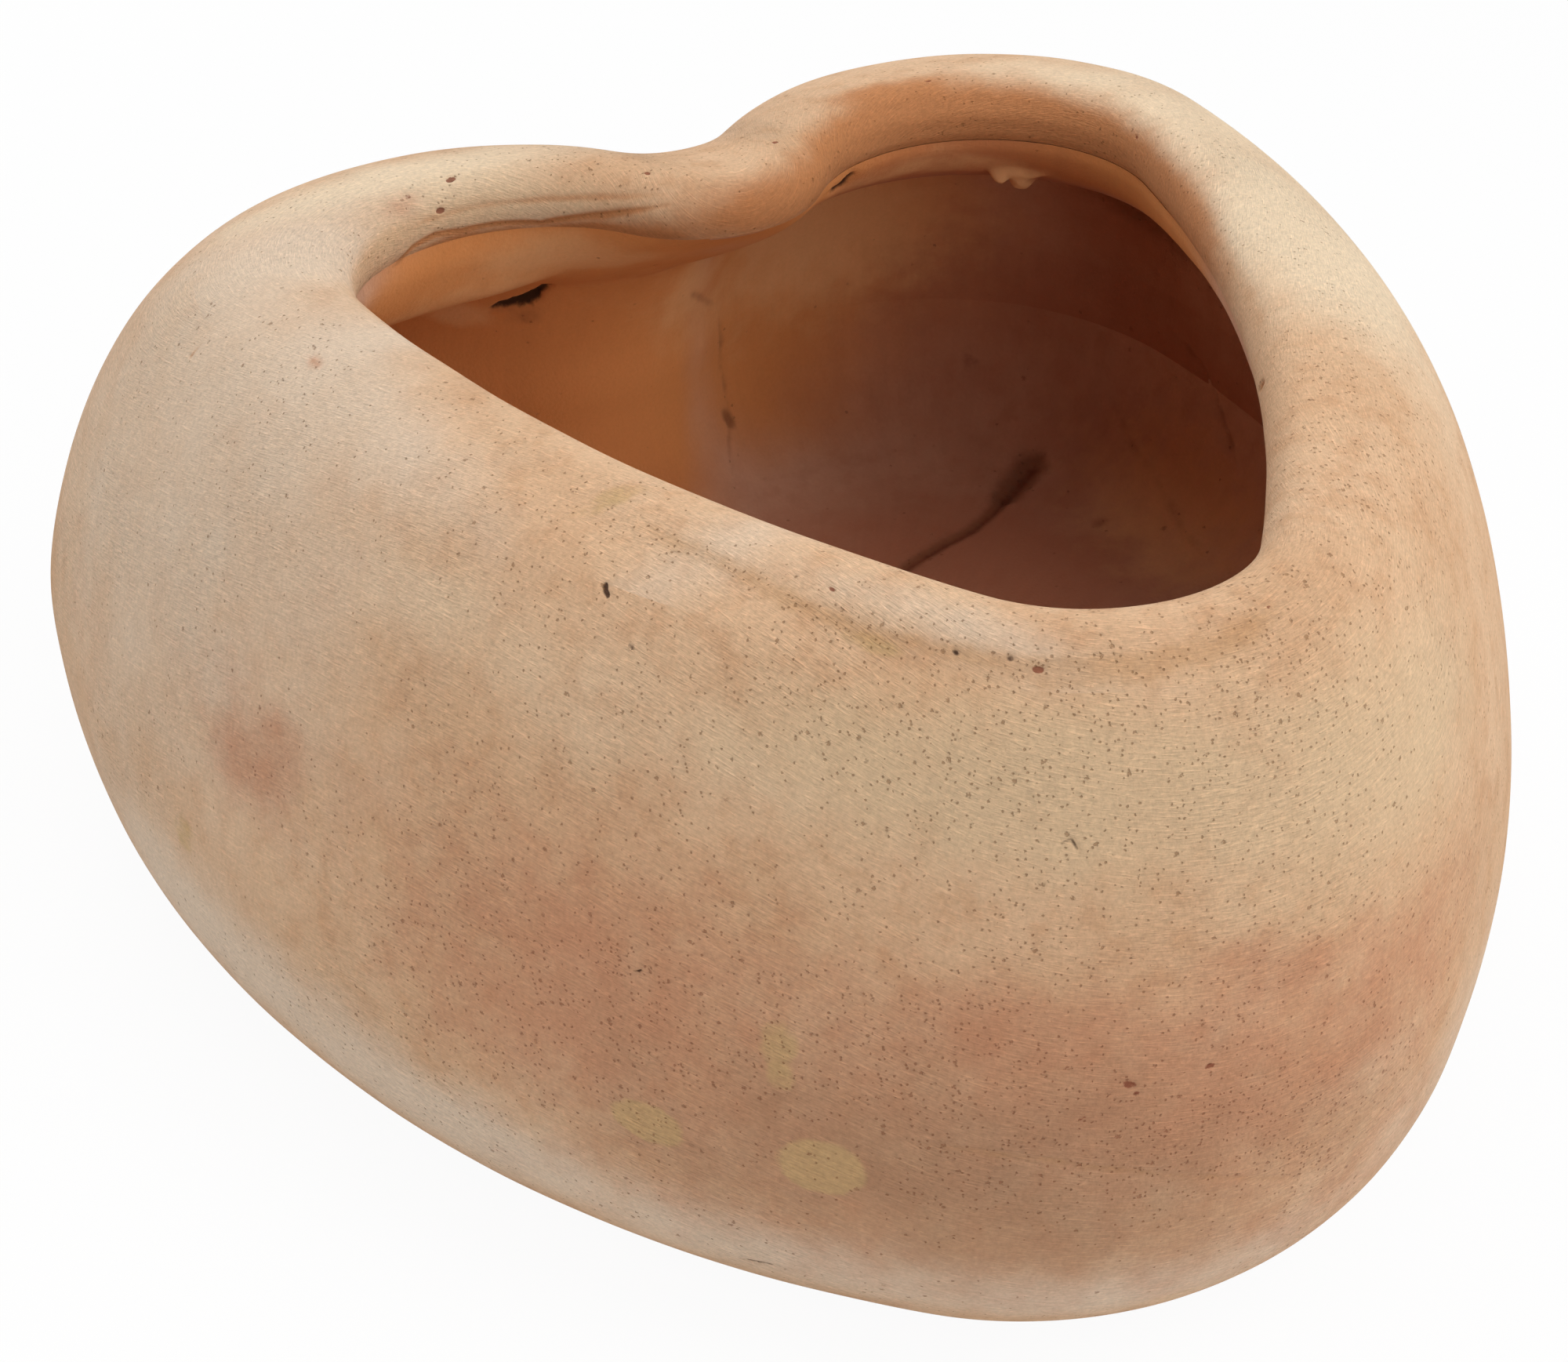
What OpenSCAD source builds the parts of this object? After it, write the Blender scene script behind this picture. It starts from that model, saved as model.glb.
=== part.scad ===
// Heart-shaped terracotta planter: a hollow body pressed as two halves, a rolled lip coil
// laid on the upper half, and the strips of soft clay that join them on the inside.
// Millimetres, +Z up. The lobes and the cleft are towards +Y and the tip towards -Y.
// The origin is under the middle of the outline, on the surface that the foot stands on.

/* [Belly outline, at the widest height] */
// Distance from the mirror plane to the centre of each lobe
lobe_spread = 66; // [58:0.5:72]
// Radius of the two lobes
lobe_r = 75; // [68:0.5:84]
// Distance from the lobe centres to the centre of the tip
tip_reach = 142.5; // [130:0.5:155]
// Radius of the tip
tip_r = 87; // [76:0.5:96]
// Radius of the long curves between lobes and tip
flank_r = 234; // [215:1:270]
// Radius of the hollow between the lobes
cleft_r = 30.5; // [22:0.5:42]

/* [Mouth outline, at the narrowest point of the lip] */
// Distance from the mirror plane to the centre of each mouth lobe
mouth_spread = 49; // [44:0.5:53]
// Radius of the mouth lobes
mouth_lobe_r = 32.5; // [29:0.5:36]
// Distance from the mouth lobe centres to the centre of the mouth's tip
mouth_reach = 131.5; // [122:0.5:136]
// Radius of the mouth's tip
mouth_tip_r = 29; // [25:0.5:34]
// Radius of the long curves of the mouth
mouth_flank_r = 342; // [260:1:450]
// Radius of the mouth's own hollow between its lobes
mouth_cleft_r = 27; // [23:0.5:36]
// How far the mouth's lobe centres lie towards the tip from the body's
mouth_setback = 32; // [28:0.5:36]
// Turn of the mouth on the body, anticlockwise from above, in degrees
mouth_turn = -3; // [-4:0.5:4]

/* [Heights] */
// Height of the belly, where the two pressed halves meet
belly_z = 54; // [44:0.5:64]
// Height of the lip's crest, at the lobe centres
rim_z = 137; // [126:0.5:150]
// Slope of the mouth, rising towards the tip, in degrees
mouth_tilt = 4; // [0:0.1:5]
// How far the foot's edge lies inside the belly
foot_inset = 36; // [28:0.5:44]

/* [Fullness of the curves, 2 is an ellipse] */
// Sideways fullness of the shoulder
shoulder_side = 2.4; // [2:0.02:2.8]
// Upward fullness of the shoulder
shoulder_rise = 1.26; // [1.1:0.02:1.8]
// Sideways fullness of the bowl
bowl_side = 2.2; // [1.8:0.02:2.6]
// Downward fullness of the bowl
bowl_drop = 2.68; // [2:0.02:3]

/* [Clay thickness] */
// Thickness of the body's wall
wall = 9; // [6:0.5:12]
// Thickness of the floor
floor_t = 11; // [8:0.5:15]

/* [Rolled lip] */
// How far the lip rolls inwards from its crest
lip_roll = 8.5; // [6:0.5:12]
// Height of the lip, from its crest to its underside
lip_h = 17; // [13:0.5:20]
// How far the crease around the lip lies below the crest
crease_drop = 6.5; // [4:0.5:9]

/* [Joining strips inside] */
// How far the lip strip reaches down the wall from the lip's underside
lip_strip_reach = 30; // [20:0.5:36]
// How far the strip is drawn down from the lip before it runs out to the wall
lip_strip_hang = 12; // [8:0.5:16]
// How much further it is drawn down behind the left lobe
left_hang = 22; // [0:0.5:25]
// Place where it is drawn down furthest, across and lengthwise
left_hang_at = [-45, 62]; // [-100:1:100]
// Spread of that place, across and lengthwise
left_hang_size = [34, 40]; // [20:1:60]
// Spread, across, of the clay that fills the hollow behind the cleft
cleft_fill = 24; // [10:1:40]
// Thickness of the strip along the belly joint
belly_strip_t = 1.5; // [1:0.5:5]
// How far the belly strip reaches above and below its joint
belly_strip_reach = 9; // [5:0.5:14]

/* [Drain hole] */
// Radius of the hole in the floor
drain_r = 8; // [4:0.5:12]
// Place of the hole along the mirror plane, from the lobe centres towards the tip
drain_reach = 72; // [50:1:100]

/* [Hidden] */

// Straight runs on the cleft, lobe, flank and tip of half an outline
ARC_STEPS = [6, 18, 8, 6];
BOWL_STEPS = 11;
SHOULDER_STEPS = 10;
LIP_OUTER_STEPS = 3;
LIP_ROLL_STEPS = 10;
// Bands of the rolled lip that the lip strip covers, counted from the underside
LIP_STRIP_BANDS = 3;
LIP_STRIP_STEPS = 8;
BELLY_STRIP_STEPS = 5;
// The inner floor's edge lies this far inside the foot's edge
FLOOR_EDGE_IN = 3;
HOLE_FACETS = 48;
CUT = 1;

// An outline is [spread, lobe_r, reach, tip_r, flank_r, cleft_r, setback, turn]
BELLY = [lobe_spread, lobe_r, tip_reach, tip_r, flank_r, cleft_r, 0, 0];
MOUTH = [mouth_spread, mouth_lobe_r, mouth_reach, mouth_tip_r, mouth_flank_r, mouth_cleft_r,
         mouth_setback, mouth_turn];
// The lobe centres lie this far from the origin, which halves the length of the belly
lobe_y = (tip_reach + tip_r - lobe_r) / 2;
inner_top_z = rim_z - lip_h;
crease_share = 1 - crease_drop / (rim_z - belly_z);

function bearing(from, to) = atan2(to.y - from.y, to.x - from.x);

// Points along an arc from angle a0 to a1, without its last point
function arc_points(centre, r, a0, a1, steps) =
    [for (i = [0 : steps - 1])
        let (a = a0 + (a1 - a0) * i / steps)
        centre + r * [cos(a), sin(a)]];

// Centre of the circle that touches two circles from outside, on the side nearer to the axis
function flank_centre(lobe, tip, to_lobe, to_tip) =
    let (gap = norm(tip - lobe),
         along = (gap * gap + to_lobe * to_lobe - to_tip * to_tip) / (2 * gap),
         across = sqrt(to_lobe * to_lobe - along * along),
         u = (tip - lobe) / gap)
    lobe + along * u + across * [u.y, -u.x];

// Right half of a heart made of four arcs that run into each other smoothly, from the cleft
// over the lobe to the tip. grow moves the outline outwards and keeps the arcs' centres.
function half_heart(o, grow) =
    let (back = lobe_y - o[6],
         lobe = [o[0], back],
         tip = [0, back - o[2]],
         cleft = [0, back + sqrt(pow(o[1] + o[5], 2) - o[0] * o[0])],
         flank = flank_centre(lobe, tip, o[4] - o[1], o[4] - o[3]),
         lobe_from = bearing(lobe, cleft),
         lobe_to = bearing(flank, lobe),
         tip_from = bearing(flank, tip))
    concat(arc_points(cleft, o[5] - grow, -90, bearing(cleft, lobe), ARC_STEPS[0]),
           arc_points(lobe, o[1] + grow, lobe_from, lobe_to, ARC_STEPS[1]),
           arc_points(flank, o[4] + grow, lobe_to, tip_from, ARC_STEPS[2]),
           arc_points(tip, o[3] + grow, tip_from, -90, ARC_STEPS[3]),
           [[0, tip.y - o[3] - grow]]);

// A point turned by angle about another point
function turned(p, about, angle) =
    let (d = p - about)
    about + [d.x * cos(angle) - d.y * sin(angle), d.x * sin(angle) + d.y * cos(angle)];

// Whole heart, clockwise from the cleft, turned about the point halfway from lobes to tip
function heart(o, grow = 0) =
    let (half = half_heart(o, grow),
         last = len(half) - 1,
         whole = concat(half, [for (i = [last - 1 : -1 : 1]) [-half[i].x, half[i].y]]))
    [for (p = whole) turned(p, [0, lobe_y - o[6] - o[2] / 2], o[7])];

belly = heart(BELLY);
belly_inside = heart(BELLY, -wall);
foot = heart(BELLY, -foot_inset);
floor_edge = heart(BELLY, -foot_inset - FLOOR_EDGE_IN);
throat = heart(MOUTH);
crest = heart(MOUTH, lip_roll);

// Shares of a full curve at angle t: sideways from 0 to 1, and upwards from 0 to 1
function side_share(t, fullness) = 1 - pow(cos(t), 2 / fullness);
function rise_share(t, fullness) = pow(sin(t), 2 / fullness);
function rise_angle(share, fullness) = asin(pow(share, fullness / 2));

// A ring part of the way from one outline to another. Its plane tilts as the mouth does, by
// a share of the whole tilt.
function ring(from, to, side, z, tilt_share = 0) =
    [for (i = [0 : len(from) - 1])
        let (p = from[i] + (to[i] - from[i]) * side)
        [p.x, p.y, z + tilt_share * tan(mouth_tilt) * (lobe_y - mouth_setback - p.y)]];

// Rings of the four curved faces, each at angle t from the belly
function bowl_outer(t) =
    ring(belly, foot, side_share(t, bowl_side), belly_z * (1 - rise_share(t, bowl_drop)));
function bowl_inner(t) =
    ring(belly_inside, floor_edge, side_share(t, bowl_side),
         belly_z - (belly_z - floor_t) * rise_share(t, bowl_drop));
function shoulder_outer(t) =
    let (rise = rise_share(t, shoulder_rise))
    ring(belly, crest, side_share(t, shoulder_side), belly_z + (rim_z - belly_z) * rise, rise);
function shoulder_inner(t) =
    let (rise = rise_share(t, shoulder_rise))
    ring(belly_inside, crest, side_share(t, shoulder_side), belly_z + (inner_top_z - belly_z) * rise, rise);

// Ring of the rolled lip at angle t: 0 is the crest, 90 the throat and 180 the underside
function lip_face(t) =
    ring(crest, throat, sin(t), rim_z - lip_h * (1 - cos(t)) / 2, 1);
function roll_angle(step) = 180 * step / LIP_ROLL_STEPS;

// Angles at which pieces meet or strips end
lip_joint = rise_angle(crease_share, shoulder_rise);
lip_strip_low = rise_angle(1 - lip_strip_reach / (inner_top_z - belly_z), shoulder_rise);
belly_strip_up = rise_angle(belly_strip_reach / (inner_top_z - belly_z), shoulder_rise);
belly_strip_down = rise_angle(belly_strip_reach / (belly_z - floor_t), bowl_drop);

// Evenly spaced values, with both ends
function spaced(from, to, steps) = [for (i = [0 : steps]) from + (to - from) * i / steps];

// Rings between two others that bulge by depth, away from the ring behind them
function bulge(from, behind, to, depth, steps) =
    [for (k = [1 : steps - 1])
        let (share = k / steps, swell = depth * sin(180 * share))
        [for (i = [0 : len(from) - 1])
            let (away = (from[i] + to[i]) / 2 - behind[i])
            from[i] + (to[i] - from[i]) * share + swell * away / norm(away)]];

// How near a point of the lip is to the place behind the left lobe, and to the cleft, from 0 to 1
function near_left(p) =
    exp(-pow((p.x - left_hang_at.x) / left_hang_size.x, 2)
        - pow((p.y - left_hang_at.y) / left_hang_size.y, 2));
function near_cleft(p) = p.y > 0 ? exp(-pow(p.x / cleft_fill, 2)) : 0;

// Rings of the clay drawn down from the ring top of the lip to the ring low of the wall. Each
// line of it is a curve that is pulled towards a point below the lip, and is straight at the cleft.
function drawn_down(top, low, steps) =
    [for (k = [1 : steps - 1])
        let (share = k / steps)
        [for (i = [0 : len(top) - 1])
            let (below = top[i] - [0, 0, lip_strip_hang + left_hang * near_left(top[i])],
                 pull = below + ((top[i] + low[i]) / 2 - below) * near_cleft(top[i]))
            pow(1 - share, 2) * top[i] + 2 * share * (1 - share) * pull + share * share * low[i]]];

// Two neighbouring rings share a band of triangles. The diagonals always start on the lower
// ring, so that two pieces that meet along a band meet triangle by triangle.
function is_lower(a, b) = a[0].z < b[0].z || (a[0].z == b[0].z && a[0].y < b[0].y);
function band(a, b, low_first, count) =
    [for (i = [0 : count - 1])
        let (j = (i + 1) % count)
        each low_first
            ? [[a + i, a + j, b + j], [a + i, b + j, b + i]]
            : [[b + i, a + i, a + j], [b + i, a + j, b + j]]];
function bands(rings, pairs, count) =
    [for (k = [0 : pairs - 1])
        let (next = (k + 1) % len(rings))
        each band(k * count, next * count, is_lower(rings[k], rings[next]), count)];

// A solid ring: the last of its rings is joined to the first
module closed_loop(rings) {
    count = len(rings[0]);
    polyhedron(points = [for (r = rings) each r], faces = bands(rings, len(rings), count));
}

// A vessel: its first and last rings are closed by fans around the points first and last
module closed_vessel(rings, first, last) {
    count = len(rings[0]);
    total = len(rings) * count;
    fan_first = [for (i = [0 : count - 1]) [total, (i + 1) % count, i]];
    fan_last = [for (i = [0 : count - 1]) [total + 1, total - count + i, total - count + (i + 1) % count]];
    polyhedron(points = concat([for (r = rings) each r], [first, last]),
               faces = concat(bands(rings, len(rings) - 1, count), fan_first, fan_last));
}

// Lower pressed half: foot, floor with its drain hole, and the wall up to the belly
module lower_bowl() {
    outer = [for (t = spaced(90, 0, BOWL_STEPS)) bowl_outer(t)];
    inner_angles = concat([0], spaced(belly_strip_down, 90, BOWL_STEPS - 2));
    inner = [for (t = inner_angles) bowl_inner(t)];
    middle_y = lobe_y - drain_reach;
    color("peru")
    difference() {
        closed_vessel(concat(outer, inner), [0, middle_y, 0], [0, middle_y, floor_t]);
        translate([0, middle_y, -CUT])
        cylinder(r = drain_r, h = floor_t + 2 * CUT, $fn = HOLE_FACETS);
    }
}

// Upper pressed half: the wall from the belly up to the crease around the lip
module upper_shoulder() {
    outer = [for (t = spaced(0, lip_joint, SHOULDER_STEPS)) shoulder_outer(t)];
    inner_angles = concat([lip_joint], spaced(lip_strip_low, belly_strip_up, SHOULDER_STEPS - 3), [0]);
    inner = [for (t = inner_angles) shoulder_inner(t)];
    color("burlywood")
    closed_loop(concat(outer, inner));
}

// Rolled lip: a coil laid on the shoulder's edge and rolled in over the mouth
module lip_coil() {
    outer = [for (t = spaced(lip_joint, 90, LIP_OUTER_STEPS)) shoulder_outer(t)];
    roll = [for (step = [1 : LIP_ROLL_STEPS]) lip_face(roll_angle(step))];
    color("wheat")
    closed_loop(concat(outer, roll, [shoulder_inner(lip_joint)]));
}

// Strip of clay smeared from under the lip down the wall, over the inside of its joint
module lip_strip() {
    wall_rings = [shoulder_inner(lip_strip_low), shoulder_inner(lip_joint)];
    lip_rings = [for (step = [LIP_ROLL_STEPS : -1 : LIP_ROLL_STEPS - LIP_STRIP_BANDS])
                    lip_face(roll_angle(step))];
    front = drawn_down(lip_rings[LIP_STRIP_BANDS], wall_rings[0], LIP_STRIP_STEPS);
    color("tan")
    closed_loop(concat(wall_rings, lip_rings, front));
}

// Strip of clay pressed along the inside of the belly joint
module belly_strip() {
    back = [bowl_inner(belly_strip_down), shoulder_inner(0), shoulder_inner(belly_strip_up)];
    front = bulge(back[2], back[1], back[0], belly_strip_t, BELLY_STRIP_STEPS);
    color("sienna")
    closed_loop(concat(back, front));
}

lower_bowl();
upper_shoulder();
lip_coil();
lip_strip();
belly_strip();
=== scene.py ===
import logging
import math
from dataclasses import dataclass
from enum import Enum
from typing import Callable

import bmesh
import bpy
import numpy as np
from mathutils import Matrix, Vector, noise


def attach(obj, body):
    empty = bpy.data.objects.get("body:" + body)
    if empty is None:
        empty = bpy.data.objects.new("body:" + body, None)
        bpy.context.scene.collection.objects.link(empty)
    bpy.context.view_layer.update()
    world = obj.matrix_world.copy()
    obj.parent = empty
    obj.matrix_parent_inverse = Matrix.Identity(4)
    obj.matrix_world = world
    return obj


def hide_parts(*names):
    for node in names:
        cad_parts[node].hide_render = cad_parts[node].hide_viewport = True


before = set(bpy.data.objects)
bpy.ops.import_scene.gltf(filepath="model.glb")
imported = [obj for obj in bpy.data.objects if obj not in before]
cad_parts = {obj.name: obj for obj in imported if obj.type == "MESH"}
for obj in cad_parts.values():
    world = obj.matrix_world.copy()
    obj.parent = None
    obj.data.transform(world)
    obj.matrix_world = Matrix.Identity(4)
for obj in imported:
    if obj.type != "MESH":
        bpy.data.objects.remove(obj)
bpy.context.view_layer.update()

# A heart-shaped terracotta planter: two pressed halves, a rolled lip and the clay that joins
# them. Sizes are in millimetres in the shared frame, and turned to metres when a mesh is made.
MM = 0.001
LOG = logging.getLogger("heart_planter")
Tree = bpy.types.NodeTree
Socket = bpy.types.NodeSocket

# Straight runs on the cleft, lobe, flank and tip of half an outline, about 1.5 mm each
ARC_STEPS = (16, 104, 88, 48)
COLUMNS = 2 * sum(ARC_STEPS)
# How many stops measure a curved face, and at which columns
PROBE_STOPS = 97
PROBE_EVERY = 16
# Points closer than this, in metres, are one
WELD = 1e-8
# How often the faces round the small marks are split
REFINE_PASSES = 2


# ---- Shape of the pot ----

def bearing(start: np.ndarray, end: np.ndarray) -> float:
    """Direction from one point to another, in degrees anticlockwise from +X."""
    return math.degrees(math.atan2(end[1] - start[1], end[0] - start[0]))


def arc_points(centre: np.ndarray, radius: float, start: float, end: float, steps: int) -> np.ndarray:
    """Points of an arc between two angles in degrees, one per step, without the arc's last point."""
    angles = np.radians(start + (end - start) * np.arange(steps) / steps)
    return centre + radius * np.stack([np.cos(angles), np.sin(angles)], axis=1)


@dataclass(frozen=True)
class HeartOutline:
    """A heart of four arcs per half that run into each other: cleft, lobe, flank and tip."""

    spread: float
    lobe_r: float
    reach: float
    tip_r: float
    flank_r: float
    cleft_r: float
    back: float
    turn: float = 0.0

    def _flank_centre(self, lobe: np.ndarray, tip: np.ndarray) -> np.ndarray:
        """Centre of the long arc that touches lobe and tip from outside.

        Args:
            lobe: Centre of the lobe's arc.
            tip: Centre of the tip's arc.

        Returns:
            The centre in the plane.
        """
        gap = float(np.linalg.norm(tip - lobe))
        to_lobe, to_tip = self.flank_r - self.lobe_r, self.flank_r - self.tip_r
        along = (gap * gap + to_lobe * to_lobe - to_tip * to_tip) / (2 * gap)
        across = math.sqrt(to_lobe * to_lobe - along * along)
        unit = (tip - lobe) / gap
        return lobe + along * unit + across * np.array([unit[1], -unit[0]])

    def ring(self, grow: float = 0.0) -> np.ndarray:
        """The outline, clockwise from the cleft.

        Args:
            grow: How far the outline moves outwards.

        Returns:
            An array of COLUMNS points.
        """
        lobe = np.array([self.spread, self.back])
        tip = np.array([0.0, self.back - self.reach])
        rise = math.sqrt((self.lobe_r + self.cleft_r) ** 2 - self.spread ** 2)
        cleft = np.array([0.0, self.back + rise])
        flank = self._flank_centre(lobe, tip)
        lobe_from, lobe_to = bearing(lobe, cleft), bearing(flank, lobe)
        tip_from = bearing(flank, tip)
        arcs = (
            (cleft, self.cleft_r - grow, -90.0, bearing(cleft, lobe)),
            (lobe, self.lobe_r + grow, lobe_from, lobe_to),
            (flank, self.flank_r + grow, lobe_to, tip_from),
            (tip, self.tip_r + grow, tip_from, -90.0),
        )
        runs = [arc_points(*arc, steps) for arc, steps in zip(arcs, ARC_STEPS)]
        half = np.concatenate(runs + [np.array([[0.0, tip[1] - self.tip_r - grow]])])
        whole = np.concatenate([half, half[-2:0:-1] * (-1.0, 1.0)])
        middle = np.array([0.0, self.back - self.reach / 2])
        c, s = math.cos(math.radians(self.turn)), math.sin(math.radians(self.turn))
        return (whole - middle) @ np.array([[c, s], [-s, c]]) + middle


class Finish(Enum):
    """Which finish a stretch of the surface has. The number is its material's place."""

    SKIN = 0
    INSIDE = 1
    HIDDEN = 2


@dataclass
class Stretch:
    """Rings of the surface one after another, with the outward direction and the distances round
    and along the pot at each point."""

    rows: np.ndarray
    finish: Finish
    out: np.ndarray
    comb: np.ndarray


@dataclass
class PotForm:
    """The pot's sizes, and its surface as rings that run once round the wall's section."""

    lobe_spread: float = 66.0
    lobe_r: float = 75.0
    tip_reach: float = 142.5
    tip_r: float = 87.0
    flank_r: float = 234.0
    cleft_r: float = 30.5
    mouth_spread: float = 49.0
    mouth_lobe_r: float = 32.5
    mouth_reach: float = 131.5
    mouth_tip_r: float = 29.0
    mouth_flank_r: float = 342.0
    mouth_cleft_r: float = 27.0
    mouth_setback: float = 32.0
    mouth_turn: float = -3.0
    belly_z: float = 54.0
    rim_z: float = 137.0
    mouth_tilt: float = 4.0
    foot_inset: float = 36.0
    shoulder_side: float = 2.4
    shoulder_rise: float = 1.26
    bowl_side: float = 2.2
    bowl_drop: float = 2.68
    wall: float = 9.0
    floor_t: float = 11.0
    floor_edge_in: float = 3.0
    lip_roll: float = 8.5
    lip_h: float = 17.0
    crease_drop: float = 6.5
    lip_strip_from: float = 126.0
    lip_strip_reach: float = 30.0
    lip_strip_hang: float = 12.0
    left_hang: float = 22.0
    left_hang_at: tuple[float, float] = (-45.0, 62.0)
    left_hang_size: tuple[float, float] = (34.0, 40.0)
    cleft_fill: float = 24.0
    belly_strip_t: float = 1.5
    belly_strip_reach: float = 9.0
    drain_r: float = 8.0
    drain_reach: float = 72.0

    def __post_init__(self) -> None:
        """Works out the outlines and the angles at which the pieces meet."""
        self.lobe_y = (self.tip_reach + self.tip_r - self.lobe_r) / 2
        body = HeartOutline(self.lobe_spread, self.lobe_r, self.tip_reach, self.tip_r, self.flank_r,
                            self.cleft_r, self.lobe_y)
        mouth = HeartOutline(self.mouth_spread, self.mouth_lobe_r, self.mouth_reach, self.mouth_tip_r,
                             self.mouth_flank_r, self.mouth_cleft_r, self.lobe_y - self.mouth_setback,
                             self.mouth_turn)
        self.belly, self.belly_inside = body.ring(), body.ring(-self.wall)
        self.foot = body.ring(-self.foot_inset)
        self.floor_edge = body.ring(-self.foot_inset - self.floor_edge_in)
        self.throat, self.crest = mouth.ring(), mouth.ring(self.lip_roll)
        self.inner_top_z = self.rim_z - self.lip_h
        inner_rise = self.inner_top_z - self.belly_z
        self.lip_joint = self.rise_angle(1 - self.crease_drop / (self.rim_z - self.belly_z),
                                         self.shoulder_rise)
        self.strip_low = self.rise_angle(1 - self.lip_strip_reach / inner_rise, self.shoulder_rise)
        self.belly_up = self.rise_angle(self.belly_strip_reach / inner_rise, self.shoulder_rise)
        self.belly_down = self.rise_angle(self.belly_strip_reach / (self.belly_z - self.floor_t),
                                          self.bowl_drop)

    @staticmethod
    def side_share(t: float, fullness: float) -> float:
        """Share of the way sideways at angle t of a curve."""
        return 1 - max(math.cos(math.radians(t)), 0.0) ** (2 / fullness)

    @staticmethod
    def rise_share(t: float, fullness: float) -> float:
        """Share of the way up at angle t of a curve."""
        return math.sin(math.radians(t)) ** (2 / fullness)

    @staticmethod
    def rise_angle(share: float, fullness: float) -> float:
        """Angle at which a curve has risen by a share of its height."""
        return math.degrees(math.asin(share ** (fullness / 2)))

    def ring(self, start: np.ndarray, end: np.ndarray, side: float, z: float,
             tilt: float = 0.0) -> np.ndarray:
        """A ring part of the way from one outline to another.

        Args:
            start: Outline at the belly.
            end: Outline that the curve runs to.
            side: Share of the way between them.
            z: Height at the mouth's lobe centres.
            tilt: Share of the mouth's tilt.

        Returns:
            An array of COLUMNS points in space.
        """
        flat = start + (end - start) * side
        slope = tilt * math.tan(math.radians(self.mouth_tilt))
        return np.column_stack([flat, z + slope * (self.lobe_y - self.mouth_setback - flat[:, 1])])

    def bowl_outer(self, t: float) -> np.ndarray:
        """Ring of the bowl's outside, 0 at the belly and 90 at the foot."""
        return self.ring(self.belly, self.foot, self.side_share(t, self.bowl_side),
                         self.belly_z * (1 - self.rise_share(t, self.bowl_drop)))

    def bowl_inner(self, t: float) -> np.ndarray:
        """Ring of the bowl's inside, 0 at the belly and 90 at the floor's edge."""
        return self.ring(self.belly_inside, self.floor_edge, self.side_share(t, self.bowl_side),
                         self.belly_z - (self.belly_z - self.floor_t) * self.rise_share(t, self.bowl_drop))

    def shoulder_outer(self, t: float) -> np.ndarray:
        """Ring of the shoulder's outside, 0 at the belly and 90 at the lip's crest."""
        rise = self.rise_share(t, self.shoulder_rise)
        return self.ring(self.belly, self.crest, self.side_share(t, self.shoulder_side),
                         self.belly_z + (self.rim_z - self.belly_z) * rise, rise)

    def shoulder_inner(self, t: float) -> np.ndarray:
        """Ring of the shoulder's inside, 0 at the belly and 90 under the lip's crest."""
        rise = self.rise_share(t, self.shoulder_rise)
        return self.ring(self.belly_inside, self.crest, self.side_share(t, self.shoulder_side),
                         self.belly_z + (self.inner_top_z - self.belly_z) * rise, rise)

    def lip_face(self, t: float) -> np.ndarray:
        """Ring of the rolled lip, 0 at the crest, 90 at the throat and 180 at the underside."""
        return self.ring(self.crest, self.throat, math.sin(math.radians(t)),
                         self.rim_z - self.lip_h * (1 - math.cos(math.radians(t))) / 2, 1.0)

    def lip_strip_front(self) -> Callable[[float], np.ndarray]:
        """Face of the clay smeared from the lip down the wall, from 0 at the lip to 1.

        Returns:
            What gives the ring at a share of the way down.
        """
        top, low = self.lip_face(self.lip_strip_from), self.shoulder_inner(self.strip_low)
        x, y = top[:, 0], top[:, 1]
        near_left = np.exp(-((x - self.left_hang_at[0]) / self.left_hang_size[0]) ** 2
                           - ((y - self.left_hang_at[1]) / self.left_hang_size[1]) ** 2)
        at_cleft = np.where(y > 0, np.exp(-(x / self.cleft_fill) ** 2), 0.0)[:, None]
        hang = self.lip_strip_hang + self.left_hang * near_left
        below = top - np.outer(hang, [0.0, 0.0, 1.0])
        pull = below + ((top + low) / 2 - below) * at_cleft
        return lambda share: top * (1 - share) ** 2 + pull * 2 * share * (1 - share) + low * share ** 2

    @staticmethod
    def bulge(start: np.ndarray, behind: np.ndarray, end: np.ndarray,
              depth: float) -> Callable[[float], np.ndarray]:
        """A face between two rings that swells away from the ring behind them, from 0 to 1.

        Args:
            start: First ring of the face.
            behind: Ring that it swells away from.
            end: Last ring of the face.
            depth: How far its middle stands out.

        Returns:
            What gives the ring at a share of the way.
        """
        away = (start + end) / 2 - behind
        away /= np.linalg.norm(away, axis=1)[:, None]
        return lambda share: start + (end - start) * share + away * depth * math.sin(math.pi * share)

    def drain_ring(self, z: float) -> np.ndarray:
        """Edge of the drain hole at a height, point by point under the foot's outline.

        Args:
            z: The height.

        Returns:
            An array of COLUMNS points in space.
        """
        middle = np.array([0.0, self.lobe_y - self.drain_reach])
        spoke = self.foot - middle
        circle = middle + self.drain_r * spoke / np.linalg.norm(spoke, axis=1)[:, None]
        return np.column_stack([circle, np.full(COLUMNS, z)])


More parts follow.
